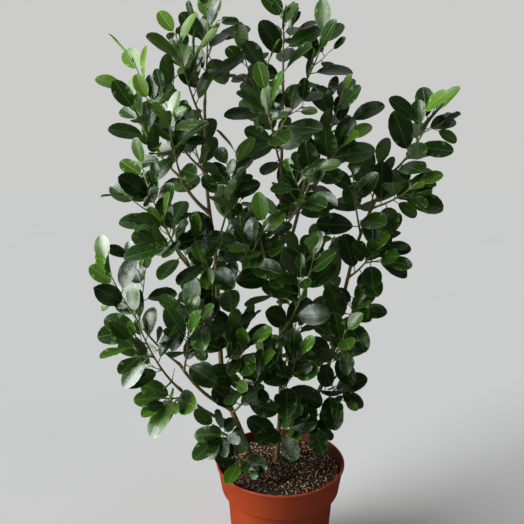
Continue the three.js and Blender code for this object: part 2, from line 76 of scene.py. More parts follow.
Triple = tuple[float, float, float]
Pair = tuple[float, float]
Links = dict[object, object]
Piece = bpy.types.Object
Socket = bpy.types.NodeSocket


class Draw:
    """Seeded random numbers, the same on every run."""

    def __init__(self, seed: int) -> None:
        """Starts the row of numbers from a seed."""
        self.state = seed

    def one(self) -> float:
        """Gives the next number between 0 and 1."""
        self.state = (self.state * 48271) % 2147483647
        return self.state / 2147483647

    def between(self, low: float, high: float) -> float:
        """Gives the next number between two limits."""
        return low + (high - low) * self.one()


def unit(vector: Array) -> Array:
    """Gives a vector's direction."""
    return vector / math.sqrt(float(vector @ vector))


class Curve:
    """A smooth line whose places are given as shares of its length."""

    DIVISIONS = 200
    TANGENT_STEP = 0.0001

    def point(self, t: float) -> Array:
        """Gives the point at a curve parameter."""
        raise NotImplementedError

    def measure(self) -> None:
        """Sums the length along the curve, once its points are known."""
        points = np.array([self.point(k / self.DIVISIONS) for k in range(self.DIVISIONS + 1)])
        steps = np.sqrt(((points[1:] - points[:-1]) ** 2).sum(1))
        self.marks = np.concatenate([[0.0], np.cumsum(steps)])
        self.length = float(self.marks[-1])

    def parameter(self, share: float) -> float:
        """Turns a share of the length into a curve parameter.

        Args:
            share: how far along the curve, from 0 to 1.

        Returns:
            The parameter of that point.
        """
        goal = share * self.length
        k = int(np.searchsorted(self.marks, goal, side="right")) - 1
        if k >= self.DIVISIONS:
            return 1.0
        span = self.marks[k + 1] - self.marks[k]
        return (k + (goal - self.marks[k]) / span) / self.DIVISIONS

    def at(self, share: float) -> Array:
        """Gives the point at a share of the length."""
        return self.point(self.parameter(share))

    def tangent(self, share: float) -> Array:
        """Gives the direction of the curve at a share of its length."""
        t = self.parameter(share)
        return unit(self.point(min(1.0, t + self.TANGENT_STEP)) - self.point(max(0.0, t - self.TANGENT_STEP)))


@dataclass
class RisingCurve(Curve):
    """A curve that leaves its start widely and then rises to its reach.

    Swing and lift are the shares of its reach, aside and above, that it has at the bend.
    """

    start: Array
    reach: Sequence[float]
    swing: float
    lift: float

    def __post_init__(self) -> None:
        """Sets the bend and the tip."""
        reach = np.array(self.reach, dtype=float)
        self.bend = self.start + np.array([self.swing, self.swing, self.lift]) * reach
        self.tip = self.start + reach
        self.measure()

    def point(self, t: float) -> Array:
        """Gives the point at a curve parameter."""
        return (1 - t) ** 2 * self.start + 2 * (1 - t) * t * self.bend + t * t * self.tip


@dataclass
class BendingCurve(Curve):
    """A curve through a few bends, with no overshoot between them."""

    bends: Sequence[Sequence[float]]

    def __post_init__(self) -> None:
        """Carries the line on by one bend at each end."""
        inner = np.array(self.bends, dtype=float)
        self.points = np.vstack([2 * inner[0] - inner[1], inner, 2 * inner[-1] - inner[-2]])
        self.spans = len(inner) - 1
        self.measure()

    def point(self, t: float) -> Array:
        """Gives the point at a curve parameter, by a cubic through the bends on both sides of it.

        Args:
            t: the parameter, from 0 to 1.

        Returns:
            The point.
        """
        place = self.spans * t
        k = min(int(place), self.spans - 1)
        weight = place - k
        p0, p1, p2, p3 = self.points[k : k + 4]
        gaps = [math.sqrt(math.sqrt(float((b - a) @ (b - a)))) for a, b in ((p0, p1), (p1, p2), (p2, p3))]
        leave = ((p1 - p0) / gaps[0] - (p2 - p0) / (gaps[0] + gaps[1]) + (p2 - p1) / gaps[1]) * gaps[1]
        arrive = ((p2 - p1) / gaps[1] - (p3 - p1) / (gaps[1] + gaps[2]) + (p3 - p2) / gaps[2]) * gaps[1]
        square = -3 * p1 + 3 * p2 - 2 * leave - arrive
        cube = 2 * p1 - 2 * p2 + leave + arrive
        return p1 + leave * weight + square * weight**2 + cube * weight**3


@dataclass
class Hull:
    """A convex piece by its corners, face directions and edge directions."""

    points: Array
    axes: Array
    edges: Array

    LEAST_AXIS = 1e-6

    def __post_init__(self) -> None:
        """Measures the sphere round the piece."""
        self.centre = self.points.mean(0)
        self.radius = float(np.sqrt(((self.points - self.centre) ** 2).sum(1)).max())

    def is_clear_of(self, other: "Hull", gap: float) -> bool:
        """Looks for a direction along which two pieces lie apart.

        Args:
            other: the other piece.
            gap: the clearance that they have to keep.

        Returns:
            True where such a direction is found.
        """
        apart = other.centre - self.centre
        if math.sqrt(float(apart @ apart)) > self.radius + other.radius + gap:
            return True
        crossed = np.cross(self.edges[:, None, :], other.edges[None, :, :]).reshape(-1, 3)
        axes = np.vstack([apart[None, :], self.axes, other.axes, crossed])
        lengths = np.sqrt((axes**2).sum(1))
        kept = lengths > self.LEAST_AXIS
        mine, theirs = axes[kept] @ self.points.T, axes[kept] @ other.points.T
        spread = np.maximum(theirs.min(1) - mine.max(1), mine.min(1) - theirs.max(1))
        return bool((spread >= gap * lengths[kept]).any())


@dataclass
class Limb:
    """A stem, bough, shoot or twig: a curve with a radius along it."""

    curve: Curve
    base_radius: float
    tip_radius: float
    sides: int
    step: float
    flare: float = 0.0

    FLARE_REACH = 16.0
    LEAST_STEPS = 3
    NEARLY_PARALLEL = 0.2
    HALVINGS = 30

    def __post_init__(self) -> None:
        """Makes the convex pieces along the limb."""
        steps = max(self.LEAST_STEPS, math.floor(self.curve.length / self.step + 0.5))
        rings = [self.ring(k / steps) for k in range(steps + 1)]
        self.parts = [self.make_part(low, high) for low, high in zip(rings, rings[1:])]

    def radius_at(self, share: float) -> float:
        """Gives the radius at a share of the length."""
        slope = self.base_radius + (self.tip_radius - self.base_radius) * share
        return slope + self.flare * self.base_radius * math.exp(-share * self.curve.length / self.FLARE_REACH)

    def frame_at(self, share: float) -> tuple[Array, Array, Array]:
        """Sets directions up at a place on the limb.

        Args:
            share: the place, as a share of the length.

        Returns:
            The directions along, to the side and to the back of the limb.
        """
        along = self.curve.tangent(share)
        side = np.cross(np.array([0.0, 1.0, 0.0]), along)
        if math.sqrt(float(side @ side)) < self.NEARLY_PARALLEL:
            side = np.cross(np.array([1.0, 0.0, 0.0]), along)
        side = unit(side)
        return along, side, np.cross(along, side)

    def ring(self, share: float) -> Array:
        """Cuts the limb's section.

        Args:
            share: the place, as a share of the length.

        Returns:
            The section's corners.
        """
        _, side, back = self.frame_at(share)
        turns = FULL_TURN * np.arange(self.sides)[:, None] / self.sides
        return self.curve.at(share) + self.radius_at(share) * (np.cos(turns) * side + np.sin(turns) * back)

    def make_part(self, low: Array, high: Array) -> Hull:
        """Makes the convex piece between two sections.

        Args:
            low: corners of the section nearer the base.
            high: corners of the one nearer the tip.

        Returns:
            The piece.
        """
        faces = np.cross(np.roll(low, -1, 0) - low, high - low)
        faces /= np.sqrt((faces**2).sum(1))[:, None]
        return Hull(np.vstack([low, high]), faces, np.array([unit(high[0] - low[0]), unit(low[1] - low[0])]))

    def leaning_way(self, share: float, turn: float, lean: float) -> Array:
        """Finds a direction that leans off the limb.

        Args:
            share: the place, as a share of the length.
            turn: the angle round the limb.
            lean: the angle off the limb.

        Returns:
            The direction.
        """
        along, side, back = self.frame_at(share)
        aside, behind = math.cos(turn) * math.sin(lean), math.sin(turn) * math.sin(lean)
        return along * math.cos(lean) + side * aside + back * behind

    def share_of(self, height: float | None, along: float | None = None) -> float:
        """Finds where something starts on this limb.

        Args:
            height: the height of the start, or None.
            along: the share of the length, used without a height; the tip if it is None too.

        Returns:
            The share of the limb's length.
        """
        if height is None:
            return 1.0 if along is None else along
        low, high = 0.0, 1.0
        for _ in range(self.HALVINGS):
            middle = (low + high) / 2
            if self.curve.at(middle)[2] < height:
                low = middle
            else:
                high = middle
        return low


class Tone(Enum):
    """The age of a leaf, which gives its green."""

    DEEP = "deep"
    MIDDLE = "middle"
    YOUNG = "young"


@dataclass
class Leaf:
    """One leaf: where its stalk starts on the twig, how its blade lies and the space that it takes."""

    root: Array
    stalk_way: Array
    blade_way: Array
    facing: Array
    length: float
    tone: Tone = Tone.DEEP

    USUAL_LENGTH = 52.0
    SLIMNESS = 0.72
    STALK = 10.0
    STALK_HALF_WIDTH = 1.1
    STALK_DEPTH = 1.76
    CENTRE_LIFT = -0.5
    FOLD = 0.12
    RECURVE = 0.06
    FOLD_SLANT = 0.2
    OUTLINE = ((0.32, 0.45), (0.74, 0.44))

    def __post_init__(self) -> None:
        """Sets out the hull of the blade, and of the whole leaf with its stalk."""
        across = unit(np.cross(self.facing, self.blade_way))
        normal = unit(np.cross(self.blade_way, across))
        width = self.length * self.SLIMNESS
        self.ways = (self.blade_way, across, normal)
        self.neck = self.root + self.stalk_way * self.STALK

        def at(along: float, side: float, lift: float = 0.0) -> Array:
            """Gives a point of the blade."""
            rise = lift + self.FOLD * abs(side) * width - self.RECURVE * along * along * self.length
            return self.neck + self.blade_way * along * self.length + across * side * width + normal * rise

        side_neck = self.STALK_HALF_WIDTH / width
        stalk = [self.root, at(0, side_neck), at(0, -side_neck), at(0, 0, -self.STALK_DEPTH)]
        left, right = ([at(along, way * side) for along, side in self.OUTLINE] for way in (1, -1))
        tip = at(1, 0)
        corners = np.array(stalk + left + [tip, right[1], right[0], at(0.5, 0, self.CENTRE_LIFT)])
        runs = [left[0] - self.neck, right[0] - self.neck, tip - left[1], tip - right[1]]
        slant = across * self.FOLD_SLANT
        axes = np.array([normal] + [np.cross(run, normal) for run in runs] + [normal + slant, normal - slant])
        edges = np.array([self.blade_way, across] + runs)
        self.blade = Hull(corners[1:], axes, edges)
        stalk_axis = np.cross(self.stalk_way, across)
        self.whole = Hull(corners, np.vstack([axes, stalk_axis]), np.vstack([edges, self.stalk_way]))


@dataclass(frozen=True)
class Spot:
    """Space that is taken by a part of a limb, or by a leaf as a whole and by its blade."""

    owner: str
    whole: Hull
    blade: Hull
    is_limb: bool


@dataclass
class Crown:
    """Everything that a new twig or leaf has to keep clear of."""

    spots: list[Spot] = field(default_factory=list)

    CLEARANCE = 1.0
    SISTER_CLEARANCE = 0.4
    OVER_RIM = 189.0
    OVER_SOIL = 176.0
    INNER_RADIUS = 87.0

    def add_limb(self, limb: Limb, owner: str) -> None:
        """Adds each part of a limb."""
        self.spots.extend(Spot(owner, part, part, True) for part in limb.parts)

    def add_leaf(self, leaf: Leaf, owner: str) -> None:
        """Adds a leaf."""
        self.spots.append(Spot(owner, leaf.whole, leaf.blade, False))

    def is_above_pot(self, hull: Hull) -> bool:
        """Tells if a piece lies over the soil inside the rim, or above the rim."""
        inside = np.hypot(hull.points[:, 0], hull.points[:, 1]) < self.INNER_RADIUS
        return bool((hull.points[:, 2] > np.where(inside, self.OVER_SOIL, self.OVER_RIM)).all())

    def near(self, hull: Hull) -> list[Spot]:
        """Lists what comes near a new piece, by the spheres round both.

        Args:
            hull: the new piece.

        Returns:
            The taken spots near it.
        """
        centres = np.array([spot.whole.centre for spot in self.spots])
        reaches = np.array([spot.whole.radius for spot in self.spots]) + hull.radius + self.CLEARANCE
        distances = np.sqrt(((centres - hull.centre) ** 2).sum(1))
        return [self.spots[k] for k in np.nonzero(distances <= reaches)[0]]

    def has_room_for_twig(self, twig: Limb, owner: str) -> bool:
        """Tells if a twig keeps clear of the pot and of every other mass's limbs.

        Args:
            twig: the twig.
            owner: the name of its mass.

        Returns:
            True where it has room.
        """
        for part in twig.parts:
            others = [spot.whole for spot in self.near(part) if spot.is_limb and spot.owner != owner]
            if not self.is_above_pot(part) or not all(part.is_clear_of(other, self.CLEARANCE) for other in others):
                return False
        return True

    def has_room_for_leaf(self, leaf: Leaf, owner: str, fine: bool = False) -> bool:
        """Tells if a leaf keeps clear of the pot, the limbs and the other leaves.

        Args:
            leaf: the leaf.
            owner: the name of its mass.
            fine: whether it grows on a fine twig, and may pass close to its own mass's limbs.

        Returns:
            True where it has room.
        """
        if not self.is_above_pot(leaf.whole):
            return False
        for spot in self.near(leaf.whole):
            sister = spot.owner == owner
            if fine and sister and spot.is_limb:
                continue
            if fine or sister:
                clear = leaf.blade.is_clear_of(spot.blade, self.SISTER_CLEARANCE)
            else:
                clear = leaf.whole.is_clear_of(spot.whole, self.CLEARANCE)
            if not clear:
                return False
        return True


@dataclass(frozen=True)
class TwigForm:
    """Sizes of one kind of twig, and how often its turn is tried."""

    base_radius: float
    tip_radius: float
    step: float
    tries: int


@dataclass(frozen=True)
class ShootRule:
    """Sizes and angles of the growth rule."""

    first_seed: int = 20417
    swing: float = 0.6
    lift: float = 0.32
    base_radius: float = 1.9
    tip_radius: float = 0.8
    step: float = 34.0
    twig: TwigForm = TwigForm(1.3, 0.7, 34.0, 8)
    twig_lean: float = math.radians(48)
    twig_rise: float = 0.25
    twig_share: float = 0.36
    twig_length_most: float = 58.0
    twig_wander: float = 0.08
    twig_spread: Pair = (0.85, 1.1)
    twig_swing: float = 0.5
    twig_leaves: int = 4
    bare_start: float = 18.0
    root_sink: float = 3.0
    lean_at_base: float = math.radians(64)
    lean_at_tip: float = math.radians(30)
    lean_spread: float = 0.2
    droop: Pair = (-0.25, 0.1)
    length_spread: float = 0.16
    tip_shrink: float = 0.3
    leaf_tries: int = 9
    try_turn: float = math.radians(12)
    try_shrink: float = 0.035
    face_up: float = 0.45
    face_out: Pair = (0.35, 1.1)
    face_left: float = 0.3
    face_along: float = 0.15
    back_shoot: float = 30.0
    fresh_from: float = 0.8


@dataclass(frozen=True)
class FineRule:
    """Sizes of the finer twigs and leaves that fill a mass inside its own reach."""

    seed_step: int = 7001
    count: int = 3
    place: Pair = (0.2, 0.95)
    reach: Pair = (14.0, 30.0)
    twig: TwigForm = TwigForm(0.75, 0.45, 12.0, 6)
    leaves: int = 3
    leaf_length: Pair = (26.0, 40.0)
    bare: float = 5.0
    tip_shrink: float = 0.15
    lean: Pair = (0.5, 1.1)
    try_turn: float = 0.37
    try_shrink: float = 0.04
    fresh: float = 0.3


RULE = ShootRule()
FINE = FineRule()


@dataclass(frozen=True)
class StemPlan:
    """A stem: its foot and tip radius, and the few points that it bends through."""

    name: str
    foot_radius: float
    tip_radius: float
    bends: tuple[Triple, ...]


@dataclass(frozen=True)
class ShootPlan:
    """A bough or shoot: where it starts, and how far its tip lies right, back and above.

    Without a height it starts at a share along a bough, or at the tip of its limb.
    """

    name: str
    start: str
    reach: Triple
    leaves: int = 0
    twigs: int = 0
    height: float | None = None
    along: float | None = None

    def curve_on(self, parent: Limb) -> RisingCurve:
        """Gives the shoot's curve, from its place on the limb that carries it."""
        start = parent.curve.at(parent.share_of(self.height, self.along))
        return RisingCurve(start, self.reach, RULE.swing, RULE.lift)


@dataclass
class Mass:
    """One mass of foliage: a shoot with side twigs, and leaves set in a spiral on each."""

    plan: ShootPlan
    parent: Limb
    seed: int
    crown: Crown
    twigs: list[Limb] = field(default_factory=list)
    fine_twigs: list[Limb] = field(default_factory=list)
    leaves: list[Leaf] = field(default_factory=list)

    def __post_init__(self) -> None:
        """Starts the mass with its shoot alone."""
        self.name = f"foliage_{self.plan.name}"
        self.draw = Draw(self.seed)
        self.fine_draw = Draw(self.seed + FINE.seed_step)
        self.outward = 1.0 if self.plan.reach[1] > RULE.back_shoot else -1.0
        self.stem = Limb(self.plan.curve_on(self.parent), RULE.base_radius, RULE.tip_radius, 3, RULE.step)

    def side_twigs(self, host: Limb, place: float, turn: float, reach: float, form: TwigForm) -> Iterator[Limb]:
        """Turns a side twig round its limb.

        Args:
            host: the limb that carries it.
            place: its place, as a share of that limb.
            turn: the first turn.
            reach: its length.
            form: its sizes.

        Yields:
            The twig at each turn where it has room.
        """
        for attempt in range(form.tries):
            way = host.leaning_way(place, turn + attempt * SPIRAL_ANGLE, RULE.twig_lean)
            tip = (way + UP * RULE.twig_rise) * reach
            curve = RisingCurve(host.curve.at(place), tip, RULE.twig_swing, RULE.lift)
            twig = Limb(curve, form.base_radius, form.tip_radius, 3, form.step)
            if self.crown.has_room_for_twig(twig, self.name):
                yield twig

    def grow_twigs(self) -> None:
        """Grows the side twigs, each where the first of a few turns has room."""
        draw, longest = self.draw, min(RULE.twig_length_most, self.stem.curve.length * RULE.twig_share)
        for k in range(self.plan.twigs):
            place = (k + 1) / (self.plan.twigs + 1) + draw.between(-RULE.twig_wander, RULE.twig_wander)
            turn, reach = draw.between(0, FULL_TURN), longest * draw.between(*RULE.twig_spread)
            for twig in self.side_twigs(self.stem, place, turn, reach, RULE.twig):
                self.twigs.append(twig)
                self.crown.add_limb(twig, self.name)
                break

    def grow_leaves(self) -> None:
        """Grows the leaves along the shoot and along each side twig."""
        self.leaf_limb(self.stem, self.plan.leaves, RULE.bare_start)
        for twig in self.twigs:
            self.leaf_limb(twig, RULE.twig_leaves, RULE.bare_start / 2)

    def leaf_limb(self, limb: Limb, count: int, bare: float) -> None:
        """Sets leaves in a spiral along one limb, each the first of a few tries that has room.

        Args:
            limb: the limb.
            count: the number of places for a leaf.
            bare: length without leaves at the limb's start.
        """
        draw, length = self.draw, limb.curve.length
        first_turn = draw.between(0, FULL_TURN)
        for k in range(count):
            share = k / (count - 1)
            place = (bare + (length - RULE.root_sink - bare) * share) / length
            lean = RULE.lean_at_base + (RULE.lean_at_tip - RULE.lean_at_base) * share
            spread = draw.between(1 - RULE.length_spread, 1 + RULE.length_spread)
            full = Leaf.USUAL_LENGTH * (1 - RULE.tip_shrink * share**3) * spread
            for attempt in range(RULE.leaf_tries):
                wander = attempt * RULE.try_turn
                turned = first_turn + k * SPIRAL_ANGLE + draw.between(-wander, wander)
                leaned = lean + draw.between(-RULE.lean_spread, RULE.lean_spread)
                leaf = self.lay_leaf(draw, limb, place, turned, leaned, full * (1 - RULE.try_shrink * attempt))
                if self.crown.has_room_for_leaf(leaf, self.name):
                    self.keep_leaf(leaf, self.tone_at(share))
                    break

    def lay_leaf(self, draw: Draw, limb: Limb, place: float, turn: float, lean: float, length: float) -> Leaf:
        """Lays one leaf, its face turned out of the fan, up and to the light at the left.

        Args:
            draw: the random numbers.
            limb: the limb that it grows on.
            place: the share of the limb's length.
            turn: angle round the limb.
            lean: angle off the limb.
            length: length of the blade.

        Returns:
            The leaf.
        """
        way = limb.leaning_way(place, turn, lean)
        blade_way = unit(way + UP * draw.between(*RULE.droop))
        out = self.outward * draw.between(*RULE.face_out)
        facing = np.array([-RULE.face_left, out, RULE.face_up]) + limb.frame_at(place)[0] * RULE.face_along
        return Leaf(limb.curve.at(place), way, blade_way, facing, length)

    def keep_leaf(self, leaf: Leaf, tone: Tone) -> None:
        """Keeps a leaf.

        Args:
            leaf: the leaf.
            tone: its green.
        """
        leaf.tone = tone
        self.leaves.append(leaf)
        self.crown.add_leaf(leaf, self.name)

    def tone_at(self, share: float) -> Tone:
        """Chooses a leaf's green: the youngest stand at the tips of the high shoots.

        Args:
            share: the leaf's place in the row along its limb.

        Returns:
            The green.
        """
        if share > YOUNG_SHOOTS.get(self.plan.name, 1.0):
            return Tone.YOUNG
        return Tone.MIDDLE if share > RULE.fresh_from or self.plan.name in FRESH_SHOOTS else Tone.DEEP

    def grow_fine(self) -> None:
        """Fills the mass with fine twigs and small leaves that stay in its own box."""
        held = np.vstack([leaf.whole.points for leaf in self.leaves] + [part.points for part in self.stem.parts])
        low, high = held.min(0), held.max(0)
        draw, hosts = self.fine_draw, [self.stem] + self.twigs
        for k in range(1 if self.plan.name in OPEN_SHOOTS else FINE.count):
            host = hosts[k % len(hosts)]
            place, turn, reach = draw.between(*FINE.place), draw.between(0, FULL_TURN), draw.between(*FINE.reach)
            for twig in self.side_twigs(host, place, turn, reach, FINE.twig):
                if self.leaf_fine_twig(twig, low, high):
                    self.fine_twigs.append(twig)
                    self.crown.add_limb(twig, self.name)
                    break

    def leaf_fine_twig(self, twig: Limb, low: Array, high: Array) -> bool:
        """Sets the small leaves on one fine twig.

        Args:
            twig: the fine twig.
            low: lowest corner of the mass.
            high: highest corner of the mass.

        Returns:
            True where a leaf has room.
        """
        draw, length, before = self.fine_draw, twig.curve.length, len(self.leaves)
        first_turn = draw.between(0, FULL_TURN)
        for k in range(FINE.leaves):
            share = (k + 1) / FINE.leaves
            place = min(1.0, (FINE.bare + (length - FINE.bare) * share) / length)
            full = draw.between(*FINE.leaf_length) * (1 - FINE.tip_shrink * share)
            for attempt in range(FINE.twig.tries):
                turn = first_turn + (k + FINE.try_turn * attempt) * SPIRAL_ANGLE
                lean = draw.between(*FINE.lean)
                leaf = self.lay_leaf(draw, twig, place, turn, lean, full * (1 - FINE.try_shrink * attempt))
                inside = (leaf.whole.points > low).all() and (leaf.whole.points < high).all()
                if inside and self.crown.has_room_for_leaf(leaf, self.name, fine=True):
                    self.keep_leaf(leaf, Tone.MIDDLE if draw.one() < FINE.fresh else Tone.DEEP)
                    break
        return len(self.leaves) > before


STEM_PLANS = (
    StemPlan("stem_left", 5, 2.2, (
        (-37, -8, 162), (-66, 4, 233), (-90, 10, 296), (-99, 12, 392), (-103, 14, 514),
        (-115, 16, 624), (-117, 18, 752),
    )),
    StemPlan("stem_middle", 3.6, 2.1, (
        (-5, 16, 162), (1, 20, 295), (0, 22, 420), (-1, 24, 560), (1, 24, 690), (2, 24, 771),
    )),
    StemPlan("stem_right", 4, 2.2, (
        (23, 36, 162), (51, 32, 254), (74, 30, 310), (87, 28, 365), (98, 26, 430),
        (119, 20, 532), (138, 12, 590), (166, 6, 648),
    )),
)

BOUGH_PLANS = (
    ShootPlan("bough_left_low", "stem_left", (-76, -38, 90), height=268),
    ShootPlan("bough_left_second", "stem_left", (-84, -50, 80), height=243),
    ShootPlan("bough_left_middle", "stem_left", (-44, -30, 74), height=444),
    ShootPlan("bough_left_upper", "stem_left", (-42, -16, 54), height=589),
    ShootPlan("bough_middle_right", "stem_middle", (40, -12, 150), height=505),
)

# Each mass: its name, what carries it, its reach, leaves, twigs, and its height or its share along a bough
MASS_PLANS = tuple(ShootPlan(*row) for row in (
    ("low_outer", "bough_left_low", (-100, -20, 158), 12, 1),
    ("low_inner", "bough_left_low", (16, -44, 88), 7, 1, None, 0.9),
    ("second_outer", "bough_left_second", (-58, -28, 124), 10, 1),
    ("second_low", "bough_left_second", (-24, -40, 14), 6, 0, None, 0.88),
    ("left_foot", "stem_left", (-42, -44, 44), 6, 0, 218),
    ("left_root", "stem_left", (-16, -44, 8), 4, 0, 196),
    ("mid_outer", "bough_left_middle", (-58, -20, 140), 10, 1),
    ("mid_inner", "bough_left_middle", (-26, -62, 76), 8, 1, None, 0.88),
    ("left_cluster", "stem_left", (-52, -66, 58), 8, 1, 398),
    ("upper_outer", "bough_left_upper", (-72, -16, 122), 10, 1),
    ("upper_inner", "bough_left_upper", (-10, -56, 84), 8, 0, None, 0.85),
    ("left_high", "stem_left", (-98, -36, 158), 11, 1, 650),
    ("left_top", "stem_left", (-34, -44, 118), 8, 1, 722),
    ("left_leader", "stem_left", (8, -8, 134), 9, 1),
    ("left_inner_high", "stem_left", (40, -54, 142), 9, 1, 534),
    ("left_inner_mid", "stem_left", (74, -70, 124), 9, 1, 452),
    ("left_inner_low", "stem_left", (46, -70, 66), 8, 1, 340),
    ("left_inner_foot", "stem_left", (44, -64, 104), 8, 1, 262),
    ("left_front", "stem_left", (-22, -84, 60), 8, 0, 492),
    ("middle_leader", "stem_middle", (0, -6, 104), 9),
    ("middle_top_right", "stem_middle", (60, -26, 108), 9, 0, 738),
    ("middle_top_left", "stem_middle", (-58, 4, 130), 9, 1, 696),
    ("centre_high", "stem_middle", (-24, -78, 96), 8, 1, 660),
    ("fork_outer", "bough_middle_right", (50, -12, 112), 9, 1),
    ("fork_inner", "bough_middle_right", (52, -46, 52), 8, 0, None, 0.92),
    ("centre_right", "stem_middle", (44, -90, 92), 8, 1, 560),
    ("centre_mid", "stem_middle", (46, -90, 150), 10, 1, 392),
    ("centre_left", "stem_middle", (-36, -88, 112), 9, 1, 464),
    ("centre_low", "stem_middle", (20, -92, 92), 9, 1, 296),
    ("middle_foot", "stem_middle", (8, -66, 66), 7, 0, 212),
    ("right_outer", "stem_right", (58, -16, 96), 10, 1),
    ("right_front", "stem_right", (48, -58, 36), 8, 0, 596),
    ("right_high", "stem_right", (-24, -56, 84), 8, 0, 556),
    ("right_side", "stem_right", (38, -46, 66), 8, 1, 484),
    ("right_lower", "stem_right", (26, -46, 46), 7, 0, 404),
    ("right_inner", "stem_right", (10, -76, 66), 8, 0, 348),
    ("right_low", "stem_right", (28, -54, 24), 6, 0, 290),
    ("right_foot", "stem_right", (22, -42, 24), 5, 0, 230),
))

# Shoots behind the stems: the row's stem, its lowest and highest start, and how many are in it
BACK_ROWS = (("left", 300, 640, 4), ("middle", 320, 690, 4), ("right", 310, 580, 3))
BACK_SWING, BACK_REACH, BACK_RISE, BACK_LEAVES = 34.0, 82.0, 92.0, 8

# Shoots whose last leaves are young, with the share of the shoot where these start
YOUNG_SHOOTS = {"left_high": 0.75, "left_top": 0.7, "upper_outer": 0.85, "right_outer": 0.8, "fork_outer": 0.9}
FRESH_SHOOTS = {"left_top", "right_lower", "second_low"}

# Shoots that stand thin against the sky, with few fine twigs
OPEN_SHOOTS = {"fork_outer", "fork_inner", "middle_top_right", "middle_top_left", "right_high", "right_outer"}


@dataclass
class Growth:
    """The whole plant as limbs and leaves, grown by the rule of the solids."""

    root_flare: float = 0.55
    bough_radii: Pair = (3.0, 2.4)
    crown: Crown = field(default_factory=Crown)
    limbs: dict[str, Limb] = field(default_factory=dict)
    masses: list[Mass] = field(default_factory=list)

    def grow(self) -> None:
        """Grows stems, boughs and masses, then the finer twigs."""
        for plan in STEM_PLANS:
            curve = BendingCurve(plan.bends)
            self.keep(plan.name, Limb(curve, plan.foot_radius, plan.tip_radius, 8, 45.0, self.root_flare))
        for plan in BOUGH_PLANS:
            self.keep(plan.name, Limb(plan.curve_on(self.limbs[plan.start]), *self.bough_radii, 6, 26.0))
        for k, plan in enumerate(list(MASS_PLANS) + self.back_plans()):
            self.masses.append(Mass(plan, self.limbs[plan.start], RULE.first_seed + k, self.crown))
        for mass in self.masses:
            self.crown.add_limb(mass.stem, mass.name)
        for stage in (Mass.grow_twigs, Mass.grow_leaves, Mass.grow_fine):
            for mass in self.masses:
                stage(mass)
            LOG.info("%s: %d leaves", stage.__name__, sum(len(mass.leaves) for mass in self.masses))

    def keep(self, name: str, limb: Limb) -> None:
        """Keeps a stem or bough by name."""
        self.limbs[name] = limb
        self.crown.add_limb(limb, name)

    def back_plans(self) -> list[ShootPlan]:
        """Plans the shoots behind the stems, spaced evenly and swung to the two sides in turn.

        Returns:
            The plans.
        """
        plans = []
        for side, low, high, count in BACK_ROWS:
            for k in range(count):
                reach = (BACK_SWING if k % 2 == 0 else -BACK_SWING, BACK_REACH, BACK_RISE)
                height = low + ((high - low) * k) / (count - 1)
                plans.append(ShootPlan(f"back_{side}_{k + 1}", f"stem_{side}", reach, BACK_LEAVES, 0, height))
        return plans


class Nodes:
    """The nodes of one tree under construction."""

    def __init__(self, tree: bpy.types.NodeTree) -> None:
        """Works on a node tree."""
        self.tree = tree

    def node(self, kind: str, links: Links | None = None, **settings: object) -> bpy.types.Node:
        """Adds a node and links or sets its inputs.

        Args:
            kind: the node's type.
            links: for each input, by name or number, the socket or value that it gets.
            settings: the node's own properties.

        Returns:
            The node.
        """
        made = self.tree.nodes.new(kind)
        for key, value in settings.items():
            setattr(made, key, value)
        for key, value in (links or {}).items():
            if isinstance(value, Socket):
                self.tree.links.new(value, made.inputs[key])
            else:
                made.inputs[key].default_value = value
        return made

    def out(self, kind: str, links: Links | None = None, **settings: object) -> Socket:
        """Adds a node and gives its first output."""
        return self.node(kind, links, **settings).outputs[0]

    def math(self, operation: str, *values: object) -> Socket:
        """Gives the result of one sum."""
        return self.out("ShaderNodeMath", dict(enumerate(values)), operation=operation)

    def times(self, first: object, second: object, added: object = 0.0) -> Socket:
        """Gives a product with something added."""
        return self.math("MULTIPLY_ADD", first, second, added)

    def vector(self, operation: str, links: Links) -> bpy.types.Node:
        """Adds a sum of vectors."""
        return self.node("ShaderNodeVectorMath", links, operation=operation)

    def noise(self, scale: object, detail: float, roughness: float = 0.5, **place: Socket) -> Socket:
        """Gives cloudy noise from 0 to 1, at a place where one is named."""
        return self.out("ShaderNodeTexNoise", {"Scale": scale, "Detail": detail, "Roughness": roughness, **place})

    def spread(self, value: object, low: object, high: object, to_low: float, to_high: float) -> Socket:
        """Gives a value moved smoothly from one range to another."""
        links = {"Value": value, "From Min": low, "From Max": high, "To Min": to_low, "To Max": to_high}
        return self.out("ShaderNodeMapRange", links, interpolation_type="SMOOTHSTEP")

    def mix(self, share: object, first: object, second: object) -> Socket:
        """Mixes two colours, by the share of the second."""
        return self.node("ShaderNodeMix", {0: share, 6: first, 7: second}, data_type="RGBA").outputs[2]


